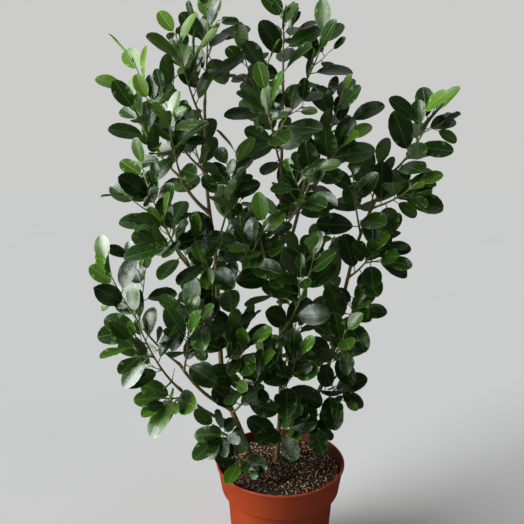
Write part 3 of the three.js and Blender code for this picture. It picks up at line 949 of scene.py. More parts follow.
class Tree(Nodes):
    """A Geometry Nodes tree under construction, with named inputs."""

    def __init__(self, name: str) -> None:
        """Makes an empty tree that takes and gives geometry.

        Args:
            name: name of the tree.
        """
        super().__init__(bpy.data.node_groups.new(name, "GeometryNodeTree"))
        for way in ("INPUT", "OUTPUT"):
            self.tree.interface.new_socket("Geometry", in_out=way, socket_type="NodeSocketGeometry")
        self.entry = self.node("NodeGroupInput")
        self.identifiers: dict[str, str] = {}

    def take(self, name: str, kind: str = "Float") -> Socket:
        """Adds a named input, and gives the socket of its value inside the tree."""
        self.identifiers[name] = self.tree.interface.new_socket(name, socket_type=f"NodeSocket{kind}").identifier
        return self.entry.outputs[name]

    def named(self, name: str, kind: str = "FLOAT") -> Socket:
        """Reads an attribute of the geometry."""
        return self.node("GeometryNodeInputNamedAttribute", {"Name": name}, data_type=kind).outputs["Attribute"]

    def relief(self, detail: float, roughness: float) -> Socket:
        """Gives the height of lumps, above and below zero, whose depth and scale are inputs."""
        level = self.math("SUBTRACT", self.noise(self.take("Relief scale"), detail, roughness), 0.5)
        return self.times(level, self.take("Relief depth"))

    def moved(self, geometry: Socket, offset: Socket) -> Socket:
        """Moves each point of a geometry."""
        return self.out("GeometryNodeSetPosition", {"Geometry": geometry, "Offset": offset})

    def upward(self, height: Socket) -> Socket:
        """Gives a height as a move along +Z."""
        return self.out("ShaderNodeCombineXYZ", {"Z": height})

    def place_forms(self, points: Socket, index: Socket, turn: Socket, size: Socket) -> Socket:
        """Places the forms of a collection at points.

        Args:
            points: the points.
            index: the number of the form at each.
            turn: its turns about the three axes.
            size: its scale.

        Returns:
            The placed forms.
        """
        links = {"Collection": self.take("Forms", "Collection"), "Separate Children": True, "Reset Children": True}
        forms = self.out("GeometryNodeCollectionInfo", links)
        links = {"Points": points, "Instance": forms, "Pick Instance": True, "Instance Index": index}
        links |= {"Rotation": self.out("FunctionNodeEulerToRotation", {0: turn}), "Scale": size}
        return self.out("GeometryNodeInstanceOnPoints", links)

    def finish(self, geometry: Socket, under: Socket | None = None, smooth: bool = False) -> None:
        """Ends the tree in real geometry with its materials set.

        Args:
            geometry: the geometry made so far.
            under: the faces that take the second finish, or None where there is one finish.
            smooth: whether its shading is smoothed.
        """
        if smooth:
            geometry = self.out("GeometryNodeSetShadeSmooth", {0: geometry})
        last = self.out("GeometryNodeRealizeInstances", {"Geometry": geometry})
        last = self.out("GeometryNodeSetMaterial", {0: last, "Material": self.take("Finish", "Material")})
        if under is not None:
            links = {0: last, "Selection": under, "Material": self.take("Under finish", "Material")}
            last = self.out("GeometryNodeSetMaterial", links)
        self.node("NodeGroupOutput", {0: last})

    def apply(self, piece: Piece, **values: object) -> Piece:
        """Runs the tree on a piece and leaves a plain mesh in its place.

        Args:
            piece: the object to work on; it is replaced.
            values: the inputs' values, by name with underscores for spaces.

        Returns:
            A new object of the same name.
        """
        modifier = piece.modifiers.new("grow", "NODES")
        modifier.node_group = self.tree
        for name, value in values.items():
            modifier[self.identifiers[name.replace("_", " ")]] = value
        bpy.context.view_layer.update()
        evaluated = piece.evaluated_get(bpy.context.evaluated_depsgraph_get())
        mesh = bpy.data.meshes.new_from_object(evaluated)
        name, old = piece.name, piece.data
        bpy.data.objects.remove(piece)
        bpy.data.meshes.remove(old)
        mesh.name = name
        keep_used_finishes(mesh)
        return link(bpy.data.objects.new(name, mesh))


def keep_used_finishes(mesh: bpy.types.Mesh) -> None:
    """Drops the material slots that no face uses.

    Args:
        mesh: the mesh that is changed.
    """
    indices = np.zeros(len(mesh.polygons), dtype=np.int32)
    mesh.polygons.foreach_get("material_index", indices)
    used, renewed = np.unique(indices, return_inverse=True)
    finishes = [mesh.materials[int(k)] for k in used]
    mesh.materials.clear()
    for finish in finishes:
        mesh.materials.append(finish)
    mesh.polygons.foreach_set("material_index", renewed.astype(np.int32).ravel())


def link(made: Piece) -> Piece:
    """Puts an object in the scene."""
    bpy.context.scene.collection.objects.link(made)
    return made


def mesh_object(name: str, points: Iterable, edges: Iterable = (), faces: Iterable = ()) -> Piece:
    """Makes a mesh object, which isn't in the scene yet.

    Args:
        name: name of the object.
        points: its corners, in metres.
        edges: pairs of corners for loose lines.
        faces: corners of each face.

    Returns:
        The object.
    """
    mesh = bpy.data.meshes.new(name)
    mesh.from_pydata([tuple(map(float, p)) for p in points], list(edges), list(faces))
    mesh.update()
    return bpy.data.objects.new(name, mesh)


def give(piece: Piece, name: str, values: Array) -> None:
    """Stores an attribute on a piece, on its faces where it is true or false, and else on its points.

    Args:
        piece: the object.
        name: name of the attribute.
        values: one value, or one row of three, for each element.
    """
    kind = {"b": "BOOLEAN", "i": "INT", "f": "FLOAT"}[values.dtype.kind]
    key = "value"
    if values.ndim > 1:
        kind, key = "FLOAT_VECTOR", "vector"
    attribute = piece.data.attributes.new(name, kind, "FACE" if kind == "BOOLEAN" else "POINT")
    attribute.data.foreach_set(key, np.ascontiguousarray(values).ravel())


class LimbTree(Tree):
    """Turns lines with a girth into round limbs with a worn surface."""

    def __init__(self) -> None:
        """Builds the tree."""
        super().__init__("limbs_along_lines")
        line = self.out("GeometryNodeMeshToCurve", {"Mesh": self.entry.outputs[0]})
        ring = self.out("GeometryNodeCurvePrimitiveCircle", {"Resolution": self.take("Sides", "Int"), "Radius": 1.0})
        links = {"Curve": line, "Profile Curve": ring, "Scale": self.named("girth"), "Fill Caps": True}
        tube = self.out("GeometryNodeCurveToMesh", links)
        shift = self.vector("SCALE", {0: self.out("GeometryNodeInputNormal"), "Scale": self.relief(3.0, 0.6)})
        self.finish(self.moved(tube, shift.outputs[0]), smooth=True)


class LeafTree(Tree):
    """Places one of a few forms at each point, turned and sized by the point."""

    def __init__(self) -> None:
        """Builds the tree."""
        super().__init__("forms_at_points")
        form, turn, size = self.named("form", "INT"), self.named("turn", "FLOAT_VECTOR"), self.named("size")
        placed = self.place_forms(self.entry.outputs[0], form, turn, size)
        self.finish(placed, self.named("below", "BOOLEAN"))


class LitterTree(Tree):
    """Strews small forms over the loose part of a surface."""

    def __init__(self) -> None:
        """Builds the tree."""
        super().__init__("litter_on_ground")
        self.seed = self.take("Seed", "Int")
        links = {"Mesh": self.entry.outputs[0], "Selection": self.named("strewn", "BOOLEAN"), "Seed": self.seed}
        links |= {"Distance Min": self.take("Least distance"), "Density Max": self.take("Density")}
        points = self.out("GeometryNodeDistributePointsOnFaces", links, distribute_method="POISSON")
        tilt = 0.5
        turn = self.random("FLOAT_VECTOR", (-tilt, -tilt, 0.0), (tilt, tilt, FULL_TURN))
        size = self.random("FLOAT", self.take("Smallest"), self.take("Largest"))
        pick = self.random("INT", 0, Litter.KINDS - 1)
        links = {"Geometry": points, "Name": "shade", "Value": self.random("FLOAT", 0.0, 1.0)}
        shaded = self.out("GeometryNodeStoreNamedAttribute", links, data_type="FLOAT", domain="POINT")
        raised = self.moved(shaded, self.upward(self.take("Lift")))
        self.finish(self.place_forms(raised, pick, turn, size))

    def random(self, kind: str, low: object, high: object) -> Socket:
        """Draws a value at each point, through the node's sockets for that kind.

        Args:
            kind: the kind of value.
            low: its lower limit.
            high: its upper limit.

        Returns:
            The value.
        """
        place = ("FLOAT_VECTOR", "FLOAT", "INT").index(kind)
        links = {2 * place: low, 2 * place + 1: high, "Seed": self.seed}
        return self.node("FunctionNodeRandomValue", links, data_type=kind).outputs[place]


class GroundTree(Tree):
    """Roughens the loose top of the potting mix in coarse and fine lumps."""

    def __init__(self) -> None:
        """Builds the tree."""
        super().__init__("crumbly_ground")
        height = self.times(self.relief(5.0, 0.7), self.named("loose"))
        self.finish(self.moved(self.entry.outputs[0], self.upward(height)), smooth=True)


def linear(red: int, green: int, blue: int) -> Colour:
    """Turns a screen colour of 0 to 255 into the linear colour that a shader takes."""
    shares = (red / 255, green / 255, blue / 255)
    return (*(c / 12.92 if c <= 0.04045 else ((c + 0.055) / 1.055) ** 2.4 for c in shares), 1.0)


class Effect(Nodes):
    """An effect that several finishes share: a group that works by place."""

    def __init__(self, name: str, outputs: Sequence[str], **inputs: float) -> None:
        """Starts the group.

        Args:
            name: name of the group.
            outputs: names of its number outputs.
            inputs: its number inputs, by name with underscores for spaces, with their usual values.
        """
        super().__init__(bpy.data.node_groups.new(name, "ShaderNodeTree"))
        add = self.tree.interface.new_socket
        add("Place", socket_type="NodeSocketVector")
        for key, value in inputs.items():
            add(key.replace("_", " "), socket_type="NodeSocketFloat").default_value = value
        for key in outputs:
            add(key, in_out="OUTPUT", socket_type="NodeSocketFloat")
        self.entry = self.node("NodeGroupInput").outputs


class CloudEffect(Effect):
    """Soft patches: a mask that changes slowly over the surface."""

    def __init__(self) -> None:
        """Builds the group."""
        super().__init__("soft_patches", ["Mask"], Scale=20.0, Sharpness=0.5)
        centred = self.math("SUBTRACT", self.noise(self.entry["Scale"], 4.0, Vector=self.entry["Place"]), 0.5)
        steep = self.times(self.math("ADD", self.entry["Sharpness"], 1.0), 1.6)
        self.node("NodeGroupOutput", {0: self.out("ShaderNodeClamp", {0: self.times(centred, steep, 0.5)})})


class GrainEffect(Effect):
    """Fine grain: a height with small lumps, drawn out along the piece."""

    def __init__(self) -> None:
        """Builds the group."""
        super().__init__("fine_grain", ["Height"], Scale=600.0, Drawn_out=1.0)
        along = self.math("DIVIDE", 1.0, self.entry["Drawn out"])
        stretch = self.out("ShaderNodeCombineXYZ", {"X": 1.0, "Y": 1.0, "Z": along})
        place = self.vector("MULTIPLY", {0: self.entry["Place"], 1: stretch}).outputs[0]
        self.node("NodeGroupOutput", {0: self.noise(self.entry["Scale"], 5.0, 0.65, Vector=place)})


class DustEffect(Effect):
    """Settled dust: a mask that is strongest on faces that look up."""

    def __init__(self) -> None:
        """Builds the group."""
        super().__init__("settled_dust", ["Mask"], Scale=90.0, Amount=0.3)
        normal = self.node("ShaderNodeNewGeometry").outputs["Normal"]
        facing = self.spread(self.node("ShaderNodeSeparateXYZ", {0: normal}).outputs["Z"], -0.2, 0.9, 0.15, 1.0)
        patchy = self.spread(self.noise(self.entry["Scale"], 6.0, Vector=self.entry["Place"]), 0.35, 0.7, 0.0, 1.0)
        self.node("NodeGroupOutput", {0: self.times(self.times(facing, patchy), self.entry["Amount"])})


class VeinEffect(Effect):
    """A leaf's midrib and slanting side veins: two masks over its UV map."""

    VEINS = 9
    SLANT = 0.75

    def __init__(self) -> None:
        """Builds the group."""
        super().__init__("leaf_veins", ["Midrib", "Side veins"], Rib_edge=0.006, Rib_end=0.016, Vein_edge=0.8)
        entry, parts = self.entry, self.node("ShaderNodeSeparateXYZ", {0: self.entry["Place"]}).outputs
        aside = self.math("ABSOLUTE", self.math("SUBTRACT", parts["X"], 0.5))
        wave = self.math("SINE", self.times(self.times(aside, -self.SLANT, parts["Y"]), FULL_TURN * self.VEINS))
        rib = self.spread(aside, entry["Rib edge"], entry["Rib end"], 1.0, 0.0)
        self.node("NodeGroupOutput", {0: rib, 1: self.spread(wave, entry["Vein edge"], 1.0, 0.0, 1.0)})


class Kit:
    """The Geometry Nodes trees and the shared effects that the plant is made with."""

    def __init__(self) -> None:
        """Builds each tree and effect once."""
        self.limb, self.leaf, self.litter, self.ground = LimbTree(), LeafTree(), LitterTree(), GroundTree()
        self.cloud, self.grain, self.dust, self.veins = CloudEffect(), GrainEffect(), DustEffect(), VeinEffect()


class Finish(Nodes):
    """The common part of every finish: a Principled shader, fed by the finish's own nodes."""

    name: str

    def build(self, kit: Kit) -> bpy.types.Material:
        """Builds the material.

        Args:
            kit: the shared effects.

        Returns:
            The material.
        """
        material = bpy.data.materials.new(self.name)
        material.use_nodes = True
        self.tree, self.kit = material.node_tree, kit
        self.tree.nodes.clear()
        self.place = self.node("ShaderNodeTexCoord").outputs["Object"]
        self.paint()
        return material

    def paint(self) -> None:
        """Lays the finish's own nodes."""
        raise NotImplementedError

    def fill(self, base: Socket, roughness: object, specular: float = 0.5, **bumped: Socket) -> None:
        """Ends the material in its Principled shader, with a bumped Normal where one is named."""
        links = {"Base Color": base, "Roughness": roughness, "Specular IOR Level": specular, **bumped}
        self.node("ShaderNodeOutputMaterial", {"Surface": self.out("ShaderNodeBsdfPrincipled", links)})

    def attribute(self, name: str) -> Socket:
        """Gives a stored number of the piece."""
        return self.node("ShaderNodeAttribute", attribute_name=name).outputs["Fac"]

    def effect(self, group: Effect, **values: object) -> bpy.types.NodeOutputs:
        """Places an effect with its own values, by input name with underscores for spaces."""
        links = {"Place": self.place} | {name.replace("_", " "): value for name, value in values.items()}
        return self.node("ShaderNodeGroup", links, node_tree=group.tree).outputs

    def cloud(self, scale: float, sharpness: float) -> Socket:
        """Gives soft patches."""
        return self.effect(self.kit.cloud, Scale=scale, Sharpness=sharpness)[0]

    def grain(self, scale: float, drawn_out: float = 1.0) -> Socket:
        """Gives fine grain."""
        return self.effect(self.kit.grain, Scale=scale, Drawn_out=drawn_out)[0]

    def dust(self, scale: float, amount: float) -> Socket:
        """Gives settled dust."""
        return self.effect(self.kit.dust, Scale=scale, Amount=amount)[0]

    def veins(self, rib_edge: float, rib_end: float, vein_edge: float) -> Iterable[Socket]:
        """Gives a leaf's midrib and side veins."""
        flat = self.out("ShaderNodeUVMap", uv_map="UVMap")
        return self.effect(self.kit.veins, Place=flat, Rib_edge=rib_edge, Rib_end=rib_end, Vein_edge=vein_edge)

    def shades(self, patch: Socket, share: float) -> Socket:
        """Gives each leaf or grain its own shade, and the rest to soft patches."""
        return self.times(self.attribute("shade"), share, self.times(patch, 1.0 - share))

    def bump(self, height: object, depth: float, strength: float) -> Socket:
        """Gives a normal by a height of 0 to 1, whose depth is in metres."""
        return self.out("ShaderNodeBump", {"Height": height, "Distance": depth, "Strength": strength})


@dataclass
class PlasticFinish(Finish):
    """Terracotta-coloured plastic: satin, with faint clouds and dust, and darkened inside by painted shade and soil
    stain.
    """

    name: str = "terracotta_satin"
    body: Colour = linear(144, 54, 20)
    deep: Colour = linear(124, 42, 14)
    soil_stain_and_shade: Colour = linear(34, 20, 14)
    # Near-black brown of the inside wall: painted shade, with some soil stain.
    dusty: Colour = linear(176, 112, 84)

    def paint(self) -> None:
        """Paints the pot."""
        cloud, dust = self.cloud(9.0, 0.3), self.dust(60.0, 0.2)
        dusted = self.mix(dust, self.mix(cloud, self.body, self.deep), self.dusty)
        flat = self.vector("MULTIPLY", {0: self.place, 1: (1.0, 1.0, 0.0)}).outputs[0]
        normal = self.node("ShaderNodeNewGeometry").outputs["Normal"]
        outward = self.vector("DOT_PRODUCT", {0: flat, 1: normal}).outputs["Value"]
        # Faces of the wall that look inward take the near-black brown: painted shade inside the pot, with some soil
        # stain.
        inside = self.spread(outward, -0.08, -0.02, 1.0, 0.0)
        base = self.mix(self.times(inside, self.spread(cloud, 0, 1, 0.8, 1.0)), dusted, self.soil_stain_and_shade)
        roughness = self.times(dust, 0.5, self.spread(cloud, 0, 1, 0.4, 0.5))
        self.fill(base, roughness, 0.2, Normal=self.bump(self.grain(1400.0), 0.00012, 0.5))


@dataclass
class GroundFinish(Finish):
    """Peaty potting mix: near black to brown, matt, each grain in its own shade."""

    name: str = "peat"
    dark: Colour = linear(14, 10, 8)
    light: Colour = linear(48, 34, 24)
    shaded: bool = False

    def paint(self) -> None:
        """Paints the mix."""
        patch = self.cloud(260.0, 1.6)
        base = self.mix(self.shades(patch, 0.75) if self.shaded else patch, self.dark, self.light)
        self.fill(base, self.spread(patch, 0, 1, 0.78, 0.97), Normal=self.bump(self.grain(900.0), 0.0008, 0.8))


@dataclass
class BarkFinish(Finish):
    """Bark: smooth and green on young shoots, brown with fine ribs and pale pores on old stems."""

    name: str = "ribbed_bark"
    green: Colour = linear(92, 108, 46)
    brown: Colour = linear(134, 108, 64)
    dark: Colour = linear(86, 66, 38)
    pale: Colour = linear(166, 142, 102)
    depth: float = 0.0006

    def paint(self) -> None:
        """Paints the bark by the limb's age."""
        ribs, patch = self.grain(520.0, 7.0), self.cloud(70.0, 0.8)
        pores = self.node("ShaderNodeTexVoronoi", {"Vector": self.place, "Scale": 260.0}).outputs["Distance"]
        pore = self.spread(pores, 0.16, 0.26, 1.0, 0.0)
        old = self.mix(self.spread(ribs, 0.35, 0.65, 0.0, 1.0), self.dark, self.brown)
        weathered = self.mix(self.times(patch, 0.35), old, self.pale)
        dotted = self.mix(self.times(pore, 0.55), weathered, self.pale)
        young = self.mix(self.times(patch, 0.5), self.green, self.brown)
        ageing = self.math("ADD", self.attribute("age"), self.spread(patch, 0, 1, -0.18, 0.18))
        share = self.spread(ageing, 0.3, 0.85, 0.0, 1.0)
        ribbed = self.bump(self.times(pore, 0.5, ribs), self.depth, 0.9)
        self.fill(self.mix(share, young, dotted), self.spread(share, 0, 1, 0.5, 0.82), Normal=ribbed)


@dataclass
class LeafFinish(Finish):
    """A leaf's upper face: glossy, with a pale midrib, faint side veins and a thin pale edge."""

    name: str
    roughness: float
    body: Colour
    varied: Colour
    vein: Colour
    rim: Colour

    def paint(self) -> None:
        """Paints the face, each leaf in its own shade."""
        midrib, side_vein = self.veins(0.006, 0.016, 0.8)
        patch, dust = self.cloud(70.0, 0.4), self.dust(120.0, 0.02)
        rim = self.spread(self.attribute("rim"), 0.88, 1.0, 0.0, 1.0)
        base = self.mix(self.shades(patch, 0.7), self.body, self.varied)
        veined = self.mix(self.times(side_vein, 0.16), base, self.vein)
        ribbed = self.mix(self.times(midrib, 0.6), veined, self.vein)
        edged = self.mix(self.times(rim, 0.55), ribbed, self.rim)
        roughness = self.times(dust, 1.5, self.spread(patch, 0, 1, self.roughness, self.roughness + 0.1))
        groove = self.times(midrib, -1.0, self.times(side_vein, -0.1))
        grooved = self.bump(self.times(self.grain(260.0), 0.5, groove), 0.0005, 0.55)
        self.fill(self.mix(dust, edged, self.rim), roughness, Normal=grooved)


@dataclass
class UnderFinish(Finish):
    """A leaf's underside: paler and matt, with a raised rib."""

    name: str
    body: Colour
    varied: Colour
    vein: Colour

    def paint(self) -> None:
        """Paints the underside, each leaf in its own shade."""
        midrib, side_vein = self.veins(0.008, 0.022, 0.75)
        patch = self.cloud(90.0, 0.3)
        veins = self.out("ShaderNodeClamp", {0: self.times(side_vein, 0.3, midrib)})
        base = self.mix(veins, self.mix(self.shades(patch, 0.6), self.body, self.varied), self.vein)
        self.fill(base, self.spread(patch, 0, 1, 0.52, 0.68), Normal=self.bump(veins, 0.0004, 0.5))


@dataclass
class StalkFinish(Finish):
    """Leaf stalks and buds: fresh green with a yellow cast."""

    name: str = "leaf_stalk"
    body: Colour = linear(112, 132, 58)
    varied: Colour = linear(78, 96, 44)

    def paint(self) -> None:
        """Paints the stalk."""
        patch = self.cloud(120.0, 0.8)
        grained = self.bump(self.grain(1500.0, 3.0), 0.0002, 0.5)
        self.fill(self.mix(patch, self.body, self.varied), self.spread(patch, 0, 1, 0.42, 0.58), Normal=grained)


@dataclass
class StageFinish(Finish):
    """The pale floor, with the least of a texture."""

    name: str = "pale_floor"
    body: Colour = (0.74, 0.74, 0.73, 1.0)
    varied: Colour = (0.72, 0.72, 0.71, 1.0)

    def paint(self) -> None:
        """Paints the floor."""
        self.fill(self.mix(self.cloud(1.5, 0.2), self.body, self.varied), 0.9, 0.0)


# Each green's screen colours above (body, varied, vein, rim), then below (body, varied, vein)
GREENS = {
    Tone.DEEP: ((15, 37, 5), (30, 58, 9), (78, 114, 46), (92, 126, 58), (56, 88, 36), (68, 100, 44), (100, 128, 66)),
    Tone.MIDDLE: (
        (36, 66, 8), (52, 85, 11), (98, 134, 50), (110, 144, 62), (72, 110, 38), (84, 120, 46), (118, 146, 72),
    ),
    Tone.YOUNG: (
        (62, 98, 14), (80, 112, 20), (120, 154, 62), (128, 160, 70), (88, 132, 44), (100, 142, 52), (134, 164, 78),
    ),
}
GLOSSY, SOFTER = 0.22, 0.3


def shade_smooth(piece: Piece, angle: float = 180.0) -> Piece:
    """Smooths a piece's shading, apart from edges sharper than an angle.

    Args:
        piece: the piece.
        angle: the angle in degrees.

    Returns:
        The piece.
    """
    piece.data.polygons.foreach_set("use_smooth", [True] * len(piece.data.polygons))
    if angle < 180.0:
        piece.data.set_sharp_from_angle(angle=math.radians(angle))
    piece.data.update()
    return piece


def rounded(outline: Sequence[Pair], radius: float, steps: int) -> list[Pair]:
    """Rounds the corners of an outline, but not its ends on the axis.

    Args:
        outline: radius and height of each corner.
        radius: how much of each side a corner may take.
        steps: the number of lines round a corner.

    Returns:
        The outline with rounded corners.
    """
    points = [np.array(p, dtype=float) for p in outline]
    made, most = [tuple(points[0])], 0.45
    for before, corner, after in zip(points, points[1:], points[2:]):
        reach = min(radius, most * np.linalg.norm(before - corner), most * np.linalg.norm(after - corner))
        enter, leave = corner + unit(before - corner) * reach, corner + unit(after - corner) * reach
        for t in (k / steps for k in range(steps + 1)):
            made.append(tuple((1 - t) ** 2 * enter + 2 * (1 - t) * t * corner + t * t * leave))
    return made + [tuple(points[-1])]


def turned(name: str, outline: Sequence[Pair], sides: int) -> Piece:
    """Turns a solid that stands on +Z, from an outline that starts and ends on the axis.

    Args:
        name: name of the piece.
        outline: radius and height of each corner in millimetres, so that the outside comes first.
        sides: the number of sides round.

    Returns:
        The piece, closed at both poles.
    """
    rings = outline[1:-1]
    points = [(0.0, 0.0, outline[0][1] * MM), (0.0, 0.0, outline[-1][1] * MM)]
    for radius, height in rings:
        for turn in (FULL_TURN * k / sides for k in range(sides)):
            points.append((radius * MM * math.cos(turn), radius * MM * math.sin(turn), height * MM))
    faces, last = [], 2 + (len(rings) - 1) * sides
    for k in range(sides):
        after = (k + 1) % sides
        faces.append((0, 2 + after, 2 + k))
        for low in range(2, last, sides):
            faces.append((low + k, low + after, low + sides + after, low + sides + k))
        faces.append((last + k, last + after, 1))
    return link(mesh_object(name, points, faces=faces))


def report(piece: Piece, slot: str, nodes: Iterable[str] = ()) -> None:
    """Ties a finished piece to the plant's body and reports it.

    Args:
        piece: the piece.
        slot: the record's material slot; not used.
        nodes: the solids that it stands for.
    """
    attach(piece, BODY)
    if nodes:
        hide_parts(*nodes)
    LOG.info("%s: %d triangles", piece.name, sum(len(face.vertices) - 2 for face in piece.data.polygons))


@dataclass
class Pot:
    """The nursery pot: a collar over a tapered body, with a small bead at the rim."""

    height: float = 185.0
    wall: float = 2.0
    floor: float = 3.0
    rim_radius: float = 105.0
    lip_height: float = 3.0
    lip_depth: float = 2.0
    collar_height: float = 45.0
    collar_foot_radius: float = 96.0
    ledge_drop: float = 5.0
    body_top_radius: float = 87.0
    body_foot_radius: float = 76.0
    foot_chamfer: float = 2.0
    sides: int = 160
    rounding: float = 2.6
    rounding_steps: int = 4
    sharp: float = 50.0

    def outline(self) -> list[Pair]:
        """Gives the wall's section, up the outside and down the inside.

        Returns:
            Radius and height of each corner.
        """
        ledge, lip, neck = self.ledge(), self.height - self.lip_height, self.rim_radius - self.lip_depth
        outside = [
            (0, 0), (self.body_foot_radius - self.foot_chamfer, 0), (self.body_foot_radius, self.foot_chamfer),
            (self.body_top_radius, ledge - self.ledge_drop), (self.collar_foot_radius, ledge),
            (neck, lip), (self.rim_radius, lip), (self.rim_radius, self.height),
        ]
        inside = [
            (neck - self.wall, self.height), (self.collar_foot_radius - self.wall, ledge + self.wall),
            (self.body_top_radius - self.wall, ledge - self.ledge_drop + self.wall),
            (self.body_foot_radius - self.wall, self.floor), (0, self.floor),
        ]
        return outside + inside

    def ledge(self) -> float:
        """Gives the height of the collar's foot."""
        return self.height - self.collar_height

    def build(self, kit: Kit) -> None:
        """Turns the pot with rounded corners in its plastic.

        Args:
            kit: the trees and effects.
        """
        piece = turned("pot_wall", rounded(self.outline(), self.rounding, self.rounding_steps), self.sides)
        piece.data.materials.append(PlasticFinish().build(kit))
        report(shade_smooth(piece, self.sharp), "terracotta_plastic", ["pot"])


@dataclass
class Litter:
    """One kind of small grain in the potting mix."""

    name: str
    finish: GroundFinish
    spacing: float
    density: float
    sizes: Pair
    flatness: float
    length: float
    lift: float
    seed: int

    KINDS = 4
    UNEVEN = (0.7, 1.1)

    def forms(self) -> bpy.types.Collection:
        """Makes uneven lumps of a few faces each.

        Returns:
            A collection of the lumps, which isn't in the scene.
        """
        collection = bpy.data.collections.new(f"{self.name}_forms")
        draw = Draw(self.seed)
        shape = np.array([self.length, 1.0, self.flatness]) / 2
        for k in range(self.KINDS):
            piece = mesh_object(f"{self.name}_form_{k}", [])
            lump = bmesh.new()
            bmesh.ops.create_icosphere(lump, subdivisions=1, radius=1.0)
            for corner in lump.verts:
                corner.co = Vector(np.array(corner.co) * draw.between(*self.UNEVEN) * shape)
            lump.to_mesh(piece.data)
            lump.free()
            collection.objects.link(shade_smooth(piece))
        return collection

    def strew(self, bed: Piece, kit: Kit) -> None:
        """Strews the grains over the bed.

        Args:
            bed: the bed.
            kit: the trees and effects.
        """
        piece, forms = link(bpy.data.objects.new(self.name, bed.data.copy())), self.forms()
        values = {"Forms": forms, "Finish": self.finish.build(kit), "Seed": self.seed, "Lift": self.lift}
        values |= {"Least distance": self.spacing, "Density": self.density}
        grains = kit.litter.apply(piece, **values, Smallest=self.sizes[0], Largest=self.sizes[1])
        drop_forms(forms)
        report(grains, "potting_mix")


def drop_forms(forms: bpy.types.Collection) -> None:
    """Removes the forms that a tree has used.

    Args:
        forms: their collection, which goes too.
    """
    for piece in list(forms.objects):
        bpy.data.meshes.remove(piece.data)
    bpy.data.collections.remove(forms)


LITTER = (
    Litter("peat_crumbs", GroundFinish("peat_crumb", linear(18, 12, 9), linear(76, 52, 34), True),
           0.0022, 90000.0, (0.0018, 0.0046), 0.7, 1.2, 0.0004, 31),
    Litter("tan_grains", GroundFinish("tan_grain", linear(120, 86, 54), linear(196, 160, 112), True),
           0.0030, 32000.0, (0.0014, 0.0036), 0.6, 1.4, 0.0010, 57),
    Litter("bark_chips", GroundFinish("bark_chip", linear(84, 54, 32), linear(150, 108, 68), True),
           0.0080, 4200.0, (0.0040, 0.0075), 0.3, 1.9, 0.0014, 73),
    Litter("perlite_grains", GroundFinish("perlite", linear(170, 160, 140), linear(226, 216, 196), True),
           0.0036, 6000.0, (0.0012, 0.0028), 0.8, 1.1, 0.0012, 91),
)


@dataclass
class Ground:
    """The potting mix: a level bed that falls to the wall, strewn with grains."""

    top: float = 172.0
    edge: float = 168.0
    flat_radius: float = 62.0
    gap: float = 0.3
    ring_step: float = 2.5
    sides: int = 140
    relief: float = 0.006
    relief_scale: float = 95.0
    still_edge: float = 2.0
    bare_edge: float = 1.5
    top_depth: float = 1.0

    def edge_radius(self, pot: Pot) -> float:
        """Finds the bed's radius at its edge, just inside the collar.

        Args:
            pot: the pot that holds it.

        Returns:
            The radius.
        """
        low, low_radius = pot.ledge() + pot.wall, pot.collar_foot_radius - pot.wall
        rise = pot.rim_radius - pot.lip_depth - pot.wall - low_radius
        return low_radius + rise * (self.edge - low) / (pot.height - low) - self.gap

    def outline(self, pot: Pot) -> list[Pair]:
        """Gives the bed's section, up its outside and in over its top.

        Args:
            pot: the pot that holds it.

        Returns:
            Radius and height of each corner.
        """
        inset, radius = pot.wall + self.gap, self.edge_radius(pot)
        outline = [
            (0.0, pot.floor), (pot.body_foot_radius - inset, pot.floor),
            (pot.body_top_radius - inset, pot.ledge() - pot.ledge_drop + inset),
            (pot.collar_foot_radius - inset, pot.ledge() + inset),
        ]
        count = round(radius / self.ring_step)
        for here in (radius * (1 - k / count) for k in range(count)):
            fall = max(0.0, here - self.flat_radius) / (radius - self.flat_radius)
            outline.append((here, self.top + (self.edge - self.top) * fall))
        return outline + [(0.0, self.top)]

    def build(self, pot: Pot, kit: Kit) -> None:
        """Builds the bed and strews the grains over it.

        Args:
            pot: the pot that holds it.
            kit: the trees and effects.
        """
        piece, radius = turned("potting_mix_bed", self.outline(pot), self.sides), self.edge_radius(pot)
        points = np.array([v.co for v in piece.data.vertices]) / MM
        inward = (radius - np.hypot(points[:, 0], points[:, 1])) / self.still_edge
        give(piece, "loose", np.where(points[:, 2] > self.edge - self.top_depth, np.clip(inward, 0, 1), 0.0))
        centres = np.array([face.center for face in piece.data.polygons]) / MM
        within = np.hypot(centres[:, 0], centres[:, 1]) < radius - self.bare_edge
        give(piece, "strewn", (centres[:, 2] > self.edge) & within)
        finish = GroundFinish().build(kit)
        bed = kit.ground.apply(piece, Relief_depth=self.relief, Relief_scale=self.relief_scale, Finish=finish)
        report(bed, "potting_mix", ["potting_mix"])
        for kind in LITTER:
            kind.strew(bed, kit)


@dataclass
class Lines:
    """Lines that a tree turns into limbs, gathered for one piece."""

    points: list[Array] = field(default_factory=list)
    edges: list[tuple[int, int]] = field(default_factory=list)
    girths: list[float] = field(default_factory=list)
    ages: list[float] = field(default_factory=list)

    def add(self, points: Sequence[Array], girths: Sequence[float], ages: Sequence[float]) -> None:
        """Adds one line.

        Args:
            points: its points, in millimetres.
            girths: the radius at each point, in millimetres.
            ages: the age of the bark at each point, from 0 to 1.
        """
        first = len(self.points)
        self.points.extend(np.asarray(p) * MM for p in points)
        self.girths.extend(g * MM for g in girths)
        self.ages.extend(ages)
        self.edges.extend((first + k, first + k + 1) for k in range(len(points) - 1))

    def build(self, name: str) -> Piece:
        """Makes one mesh of the lines, with their girths and ages.

        Args:
            name: name of the piece.

        Returns:
            The piece.
        """
        piece = link(mesh_object(name, self.points, self.edges))
        give(piece, "girth", np.array(self.girths))
        give(piece, "age", np.array(self.ages))
        return piece


